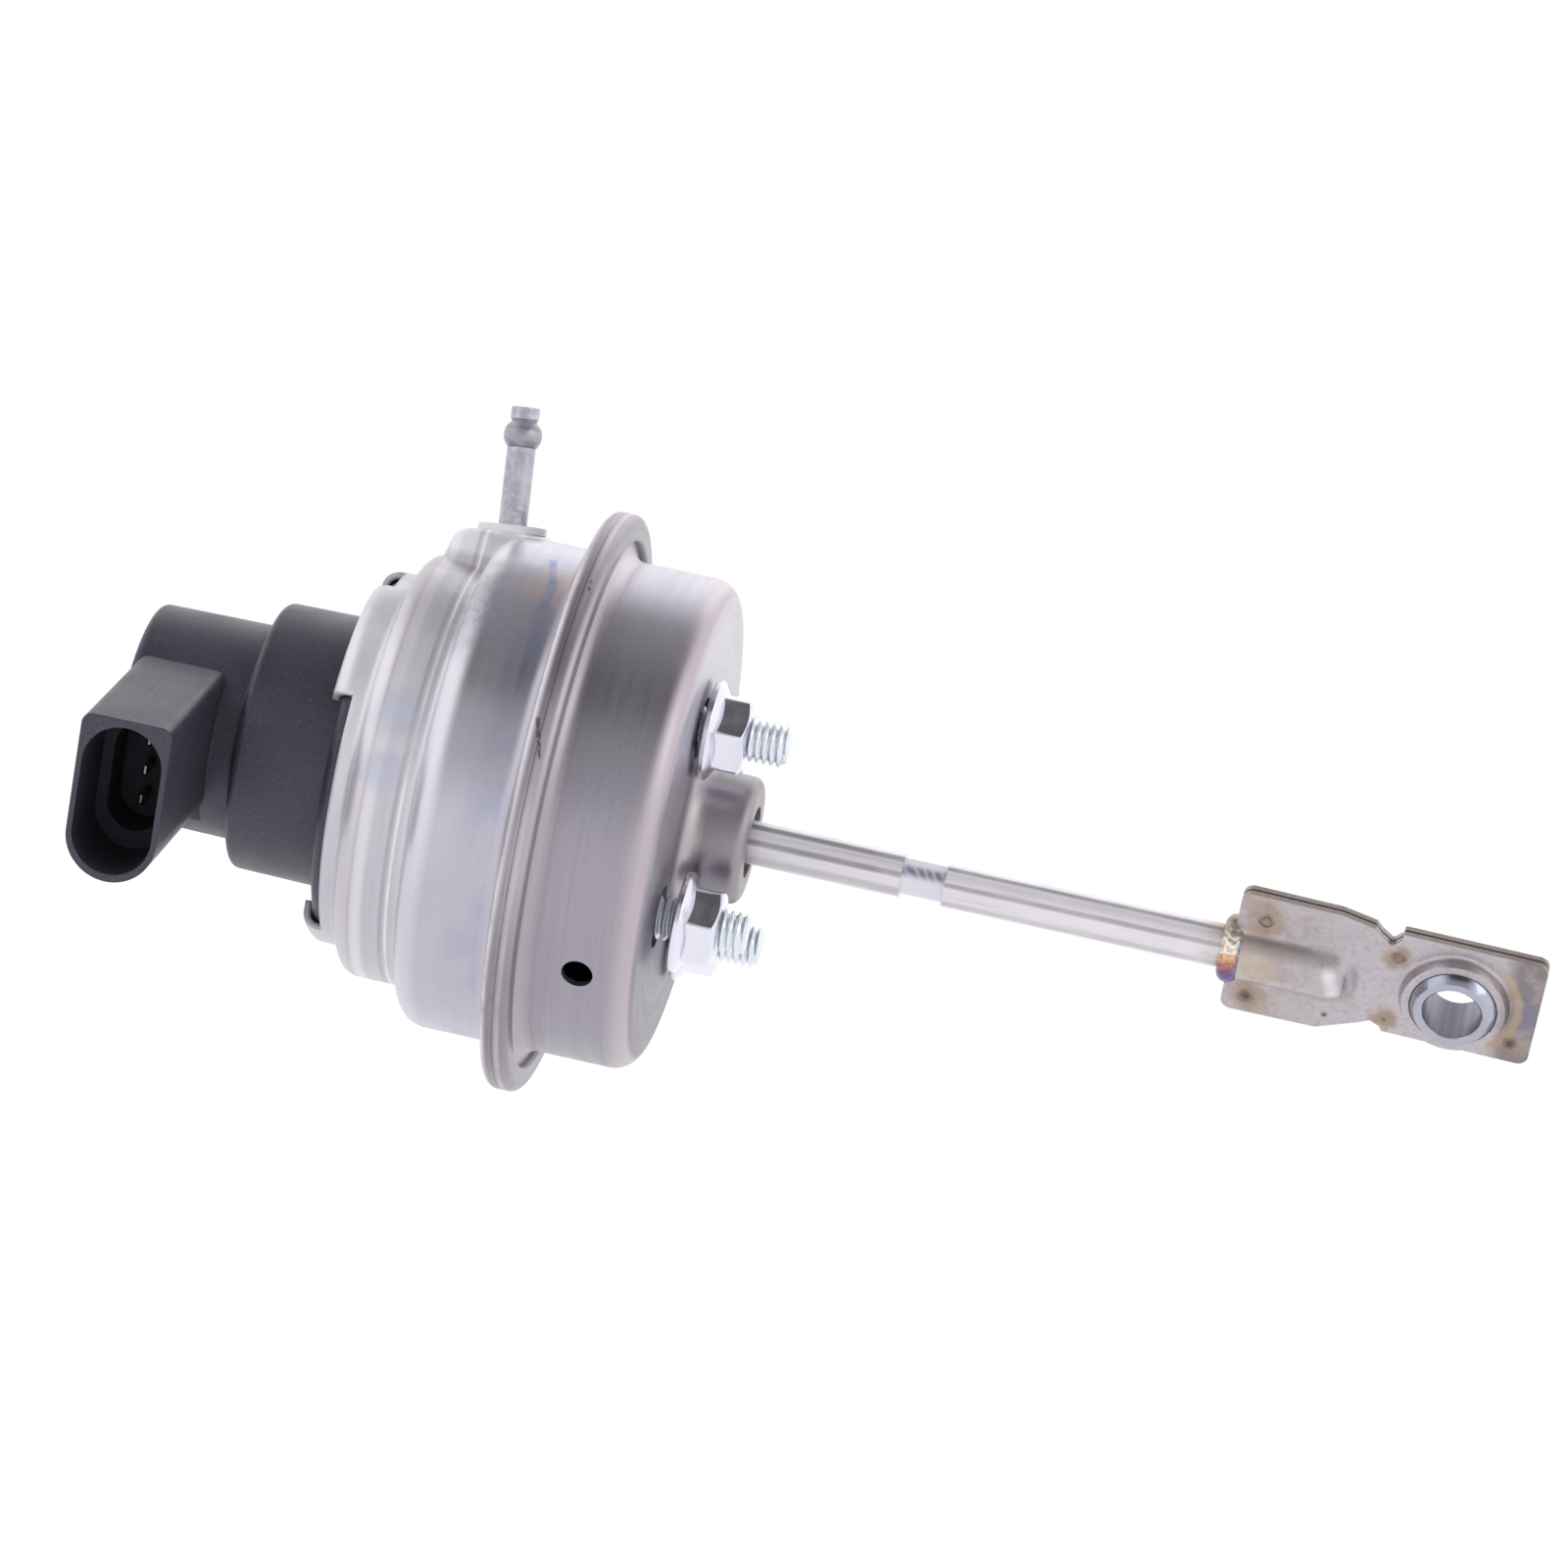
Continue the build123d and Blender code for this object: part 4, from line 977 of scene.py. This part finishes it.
def housing_finish():
    material, shader, place = start_finish("housing_black_plastic", 0.0, specular=0.75)
    shader.inputs["Specular Tint"].default_value = tone(236, 232, 255)
    cloud = use(grain_and_smudges, place, 0.45, 8.0)
    speck = use(grain_and_smudges, place, 0.22, 20.0)["Grain"]
    from_mouth = from_point(place, socket_mouth)
    # Painted shade: past the socket's mouth the plastic is painted near black, and it is rougher there.
    inside = times(
        above(along_mm(from_mouth, -socket_out), 1.0, 3.0),
        below(size_of(along_mm(from_mouth, (1.0, 0.0, 0.0))), 5.5, 5.65),
        below(size_of(along_mm(from_mouth, socket_up)), 10.4, 10.6),
    )
    seams = 0.0
    for start, end, width in parting_lines:
        seams = plus(seams, use(line_mark, place, start, end, width)["Mark"])
    colour = layered(
        mixed(cloud["Smudges"], (43, 41, 51), (57, 54, 66)),
        (above(speck, 0.56, 0.68), 0.4, (118, 116, 130)),
        (inside, 0.75, (14, 14, 17)),
        (seams, 0.4, (96, 94, 104)),
    )
    rough = between(cloud["Smudges"], 0.3, 0.7, 0.38, 0.48)
    rough = maths("MULTIPLY_ADD", inside, 0.3, rough)
    ridged = bumped(seams, 0.05, soft_edges(shader, 0.3))
    paint(shader, colour, rough, bumped(cloud["Grain"], 0.022, ridged))
    return material


housing_black = housing_finish()
print("finish:", housing_black.name)

# %% [markdown]
# ## Pieces inside
# What the cans hide still gets a finish of its own: pressed steel for the piston and the seats,
# dark spring wire, a bright magnet and tinned terminal blades.

# %% Inner metals
pressed_steel = small_steel_finish(
    "inner_pressed_steel", (138, 138, 142), (160, 160, 166), 0.3, rings_per_mm=4.0
)
spring_wire = small_steel_finish("spring_wire", (88, 86, 86), (112, 110, 110), 0.3)
magnet_nickel = small_steel_finish("magnet_nickel", (170, 170, 172), (190, 190, 192), 0.18)
tinned_brass = small_steel_finish("terminal_tin", (128, 126, 122), (160, 158, 152), 0.2)
print("inner finishes: 4")

# %% [markdown]
# ## Dressing the CAD pieces
# Each CAD node keeps its shape and gets its finish in its material slot.

# %% Dressing
finishes = (
    (front_can_satin, "front_can"),
    (rear_can_satin, "rear_can"),
    (nipple_steel, "vacuum_nipple"),
    (pressed_steel, "stud_plate", "piston_plate", "piston_cup", "spring_seat"),
    (zinc_thread, "mounting_studs"),
    (zinc_bright, "flange_nuts", "piston_nut"),
    (bush_brown, "rod_bush"),
    (rod_steel, "actuator_rod"),
    (rubber_black, "diaphragm", "housing_seal"),
    (spring_wire, "return_spring"),
    (tinned_brass, "terminal_pins"),
    (housing_black, "sensor_housing"),
    (board_green, "sensor_board"),
    (resin_black, "hall_sensor"),
    (carrier_grey, "magnet_carrier"),
    (magnet_nickel, "magnet"),
    (plate_steel, "rod_end_front_plate", "rod_end_rear_plate"),
    (ball_steel, "bearing_ball"),
    (weld_metal, "rod_weld"),
)
for finish, *names in finishes:
    for name in names:
        mesh = nodes[name].data
        mesh.materials.clear()
        mesh.materials.append(finish)
print("dressed:", sum(len(names) for _, *names in finishes), "of", len(nodes))

# %% [markdown]
# ## Threaded studs
# The three studs are M6, with a thread of 1 mm pitch that shows past the nuts. The solids are plain
# cylinders, so the thread is cut here. One stud is a grid wound like the thread itself: each column
# of points is one angle, and each turn of the grid starts one pitch further on. Its ends run out
# into a chamfer. Geometry Nodes then place it on the three points of the bolt circle.

# %% One threaded stud
stud_angles = (36.0, 137.0, 214.0)
stud_circle = 17.0
stud_end = 12.2
stud_start = -1.0
thread_pitch = 1.0
thread_major = 3.0
thread_minor = 2.45
thread_columns = 40
thread_profile = ((0.0, 0.0), (0.1, 0.0), (0.42, 1.0), (0.58, 1.0), (0.9, 0.0))
end_radius = thread_minor - 0.1
same_point = 1e-7


def shaped(name, verts, faces, finish, sharp_angle):
    """A closed mesh object, faces outwards, smooth but for edges steeper than the angle."""
    mesh = bpy.data.meshes.new(name)
    mesh.from_pydata([tuple(Vector(v) * mm) for v in verts], [], faces)
    work = bmesh.new()
    work.from_mesh(mesh)
    bmesh.ops.remove_doubles(work, verts=work.verts, dist=same_point)
    bmesh.ops.dissolve_degenerate(work, edges=work.edges, dist=same_point / 10.0)
    bmesh.ops.recalc_face_normals(work, faces=work.faces)
    work.to_mesh(mesh)
    work.free()
    mesh.materials.append(finish)
    mesh.polygons.foreach_set("use_smooth", [True] * len(mesh.polygons))
    mesh.set_sharp_from_angle(angle=radians(sharp_angle))
    return add_object(name, mesh)


def threaded_stud():
    """A stud along X through the origin of the face, wound as one helical grid."""
    depth = thread_major - thread_minor
    turns = int((stud_end - stud_start) / thread_pitch) + 3
    rows = [(turn + share, rise) for turn in range(-1, turns) for share, rise in thread_profile]
    verts = []
    for share, rise in rows:
        for column in range(thread_columns + 1):
            lead = column / thread_columns
            x = stud_start + (share + lead - 1.0) * thread_pitch
            x = min(max(x, stud_start), stud_end)
            run_out = end_radius + min(stud_end - x, x - stud_start)
            radius = min(thread_minor + depth * rise, run_out)
            turn = 2.0 * pi * lead
            verts.append((x, radius * cos(turn), radius * sin(turn)))
    width = thread_columns + 1
    faces = [
        (r * width + c, r * width + c + 1, (r + 1) * width + c + 1, (r + 1) * width + c)
        for r in range(len(rows) - 1)
        for c in range(thread_columns)
    ]
    turns_round = [2.0 * pi * c / thread_columns for c in range(thread_columns)]
    for x in (stud_start, stud_end):
        first = len(verts)
        verts.extend((x, end_radius * cos(turn), end_radius * sin(turn)) for turn in turns_round)
        verts.append((x, 0.0, 0.0))
        faces.extend(
            (first + c, first + (c + 1) % thread_columns, first + thread_columns)
            for c in range(thread_columns)
        )
    return shaped("one_stud", verts, faces, zinc_thread, 60.0)


one_stud = threaded_stud()
print("one stud:", len(one_stud.data.polygons), "faces")

# %% [markdown]
# ## Flange nuts
# A flange nut is a hexagon on a coned washer. Its outline is a rule: at any angle the hexagon's
# radius is the flat's distance divided by a cosine, and the top corners are cut by a cone. So the
# nut is a polar grid whose rings follow that rule, and the same Geometry Nodes place all three.

# %% One flange nut
nut_flat = 5.0
nut_height = 5.9
nut_bore = 3.02
nut_flange_radius = 6.95
nut_flange_height = 1.1
nut_cone_height = 2.1
nut_corner_cut = 0.62
nut_corner_round = 0.12
nut_chamfer = 0.35
nut_inside_flat = 0.2
nut_seats = (0.8, 2.6, 0.8)
nut_turns = (58.0, 14.0, 40.0)
nut_columns = 144
sixth = pi / 3.0


def hexagon_radius(turn):
    """Distance from the axis to the hexagon at an angle in radians; a flat faces angle zero."""
    off = (turn + sixth / 2.0) % sixth - sixth / 2.0
    corner = nut_flat / cos(sixth / 2.0)
    return min(nut_flat / cos(off), corner - nut_corner_round)


def nut_shoulder(turn):
    """Height at which a side of the hexagon ends, lower at its corners."""
    slope = nut_corner_cut / (nut_flat / cos(sixth / 2.0) - nut_flat + nut_inside_flat)
    cut = slope * (hexagon_radius(turn) - nut_flat + nut_inside_flat)
    return nut_height - nut_corner_round - cut


def nut_foot(turn):
    """Height at which the coned flange meets the hexagon."""
    share = (nut_flange_radius - hexagon_radius(turn)) / (nut_flange_radius - nut_flat)
    return nut_flange_height + (nut_cone_height - nut_flange_height) * share


def flange_nut():
    """A flange nut standing on x = 0 along X: each ring has its height and its radius."""
    profile = (
        (0.0, nut_bore + nut_chamfer),
        (0.0, nut_flange_radius - 0.3),
        (0.3, nut_flange_radius),
        (nut_flange_height - 0.25, nut_flange_radius),
        (nut_flange_height, nut_flange_radius - 0.2),
        (nut_foot, lambda turn: hexagon_radius(turn) + 0.05),
        (lambda turn: nut_foot(turn) + nut_corner_round, hexagon_radius),
        (nut_shoulder, hexagon_radius),
        (nut_height - 0.06, nut_flat - 0.3),
        (nut_height, nut_flat - 0.5),
        (nut_height, nut_bore + nut_chamfer),
        (nut_height - nut_chamfer, nut_bore),
        (nut_chamfer, nut_bore),
    )
    verts = []
    for rules in profile:
        for column in range(nut_columns):
            turn = 2.0 * pi * column / nut_columns
            x, radius = (rule(turn) if callable(rule) else rule for rule in rules)
            verts.append((x, radius * cos(turn), radius * sin(turn)))
    faces = []
    for ring in range(len(profile)):
        low, high = ring * nut_columns, (ring + 1) % len(profile) * nut_columns
        for here in range(nut_columns):
            there = (here + 1) % nut_columns
            faces.append((low + here, low + there, high + there, high + here))
    return shaped("one_nut", verts, faces, zinc_bright, 24.0)


one_nut = flange_nut()
print("one nut:", len(one_nut.data.polygons), "faces")

# %% [markdown]
# ## Setting them on the bolt circle
# Three points carry the seats, and an attribute on each says how far the piece there is turned. The
# tree puts the piece on each point, turns it, makes the copies real and gives them their finish.


# %% The tree that sets a piece on points
def build_set_on_points():
    tree = bpy.data.node_groups.new("set_on_bolt_circle", "GeometryNodeTree")
    for label, way, kind in (
        ("Seats", "INPUT", "Geometry"), ("Piece", "INPUT", "Object"),
        ("Finish", "INPUT", "Material"), ("Pieces", "OUTPUT", "Geometry"),
    ):
        tree.interface.new_socket(label, in_out=way, socket_type="NodeSocket" + kind)
    given = tree.nodes.new("NodeGroupInput").outputs
    piece = node(tree, "GeometryNodeObjectInfo", {"Object": given["Piece"]})
    turn = node(tree, "GeometryNodeInputNamedAttribute", {"Name": "turn"})
    angles = node(tree, "ShaderNodeCombineXYZ", {0: turn.outputs["Attribute"]})
    placed = node(
        tree, "GeometryNodeInstanceOnPoints",
        {
            "Points": given["Seats"],
            "Instance": piece.outputs["Geometry"],
            "Rotation": angles.outputs[0],
        },
    )
    real = node(tree, "GeometryNodeRealizeInstances", {"Geometry": placed.outputs["Instances"]})
    dressed = node(
        tree, "GeometryNodeSetMaterial",
        {"Geometry": real.outputs["Geometry"], "Material": given["Finish"]},
    )
    node(tree, "NodeGroupOutput", {"Pieces": dressed.outputs["Geometry"]})
    return tree


set_on_bolt_circle = build_set_on_points()


def set_on_seats(name, piece, seats, turns, finish):
    """The piece on every seat, as one plain mesh object; seats are distances along X."""
    points = bpy.data.meshes.new(name + "_seats")
    places = [on_can(stud_circle, seat, angle) for seat, angle in zip(seats, stud_angles)]
    points.from_pydata(places, [], [])
    turn = points.attributes.new("turn", "FLOAT", "POINT")
    for index, angle in enumerate(turns):
        turn.data[index].value = radians(angle)
    carrier = add_object(name + "_carrier", points)
    modifier = carrier.modifiers.new("set", "NODES")
    modifier.node_group = set_on_bolt_circle
    sockets = {s.name: s.identifier for s in set_on_bolt_circle.interface.items_tree}
    modifier[sockets["Piece"]] = piece
    modifier[sockets["Finish"]] = finish
    carrier.update_tag()
    bpy.context.view_layer.update()
    evaluated = carrier.evaluated_get(bpy.context.evaluated_depsgraph_get())
    mesh = bpy.data.meshes.new_from_object(evaluated)
    mesh.name = name
    for spare in (carrier, piece):
        bpy.data.objects.remove(spare, do_unlink=True)
    return add_object(name, mesh)


# %% Studs and nuts in place
no_turns = (0.0, 0.0, 0.0)
threaded_studs = set_on_seats("threaded_studs", one_stud, no_turns, no_turns, zinc_thread)
nut_angles = [60.0 + angle + turn for angle, turn in zip(stud_angles, nut_turns)]
threaded_nuts = set_on_seats("hexagon_flange_nuts", one_nut, nut_seats, nut_angles, zinc_bright)
stud_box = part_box("mounting_studs")
print("studs reach back to", round(stud_box[0][0] / mm, 2), "mm in the frame")
print("studs:", len(threaded_studs.data.polygons), "nuts:", len(threaded_nuts.data.polygons))

# %% [markdown]
# ## The spring and the diaphragm
# Both change shape when the rod slides back, so a merged copy of each takes the plain node's place.
# The spring's copy rides with the case. The diaphragm is clamped in the rim and held by the piston,
# so its sleeve goes from the one to the other.

# %% Soft pieces inside
sleeve_start = -19.6
sleeve_end = -8.0


def merged_copy(name, plain):
    """A copy of a node's mesh with its points joined, as an object of its own."""
    mesh = nodes[plain].data.copy()
    mesh.name = name
    work = bmesh.new()
    work.from_mesh(mesh)
    bmesh.ops.remove_doubles(work, verts=work.verts, dist=same_point)
    work.to_mesh(mesh)
    work.free()
    made = add_object(name, mesh)
    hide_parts(plain)
    return made


coil_spring = merged_copy("coil_spring", "return_spring")
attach(coil_spring, "case")
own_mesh(coil_spring)
rolling_diaphragm = merged_copy("rolling_diaphragm", "diaphragm")
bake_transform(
    rolling_diaphragm, "case", "rod",
    start=(sleeve_start * mm, 0.0, 0.0), end=(sleeve_end * mm, 0.0, 0.0),
)
print("diaphragm:", len(rolling_diaphragm.data.polygons), "faces")

# %% [markdown]
# ## Studio
# The photograph is a cut-out on pure white, under a large soft light from above and behind. The
# side where the camera stands is darker, and that gives the cans their dark middle band. The world
# does both: a camera ray sees plain white, and any other ray sees a studio that is bright behind,
# dim towards the camera's side and dark in one band above it, which the nuts' flats mirror.

# %% Studio light
behind_level = 1.2
eye_level = 0.7
front_level = 0.56
dark_band = 0.1
overhead_level = 0.45
wash = 0.88
plain_white = (1.0, 1.0, 1.0, 1.0)
lamp_target = Vector((20.0, 0.0, 0.0)) * mm


def choose(share, value, other):
    """The value where the share is 1, the other where it is 0."""
    rest = times(maths("SUBTRACT", 1.0, share), other)
    return plus(times(share, value), rest)


def build_studio():
    """White to the camera, an even wash for matt surfaces, a studio with a dim front for gloss."""
    world = bpy.data.worlds.new("studio")
    world.use_nodes = True
    scene.world = world
    tree = world.node_tree
    ground = tree.nodes["Background"].inputs
    direction = tree.nodes.new("ShaderNodeTexCoord").outputs["Generated"]
    aside, ahead, height = node(tree, "ShaderNodeSeparateXYZ", {0: direction}).outputs
    lit = maths("MAXIMUM", above(ahead, 0.1, 0.45), above(size_of(aside), 0.3, 0.7))
    dim = between(height, 0.0, 0.35, eye_level, front_level)
    dim = plus(dim, above(height, 0.55, 0.72, dark_band - front_level))
    dim = plus(dim, above(height, 0.88, 0.98, overhead_level - dark_band))
    rays = tree.nodes.new("ShaderNodeLightPath").outputs
    unseen = choose(rays["Is Diffuse Ray"], wash, choose(lit, behind_level, dim))
    ground["Color"].default_value = plain_white
    link(choose(rays["Is Camera Ray"], 1.0, unseen), ground["Strength"])


def area_lamp(name, place, size, power):
    """A soft square lamp at a place in millimetres, aimed at the part."""
    lamp = bpy.data.lights.new(name, "AREA")
    lamp.size = size * mm
    lamp.energy = power
    spot = Vector(place) * mm
    turned = (lamp_target - spot).to_track_quat("-Z", "Y").to_matrix().to_4x4()
    add_object(name, lamp).matrix_world = Matrix.Translation(spot) @ turned


build_studio()
area_lamp("top_softbox", (60.0, 600.0, 500.0), 500.0, 0.4)
area_lamp("front_softbox", (650.0, -250.0, 350.0), 300.0, 0.25)

# %% [markdown]
# ## Floor
# A plain pale floor lies well below the part, because nothing in the photograph touches the ground.
# To the camera it looks white, and it keeps the part's soft shadow.

# %% Floor
floor_height = -120.0
floor_half = 4000.0
floor_glow = 0.28
floor_tone = (0.88, 0.88, 0.88, 1.0)
floor_roughness = 0.9


def lay_floor():
    mesh = bpy.data.meshes.new("studio_floor")
    corners = [
        (sx * floor_half * mm, sy * floor_half * mm, floor_height * mm)
        for sx, sy in ((-1, -1), (1, -1), (1, 1), (-1, 1))
    ]
    mesh.from_pydata(corners, [], [(0, 1, 2, 3)])
    material, shader, _ = start_finish("floor_white", metallic=0.0)
    for name, value in (
        ("Base Color", floor_tone), ("Roughness", floor_roughness), ("Emission Color", plain_white)
    ):
        shader.inputs[name].default_value = value
    rays = material.node_tree.nodes.new("ShaderNodeLightPath").outputs
    seen = maths("MAXIMUM", rays["Is Camera Ray"], rays["Is Glossy Ray"])
    link(times(seen, floor_glow), shader.inputs["Emission Strength"])
    mesh.materials.append(material)
    return add_object("studio_floor", mesh)


studio_floor = lay_floor()
scene.view_settings.view_transform = "Standard"
print("floor lies", floor_height, "mm from the rod's axis")

# %% [markdown]
# ## Handing over
# The threaded pieces take the place of the plain ones and ride with the case.

# %% Handing over
for piece, plain in ((threaded_studs, "mounting_studs"), (threaded_nuts, "flange_nuts")):
    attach(piece, "case")
    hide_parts(plain)
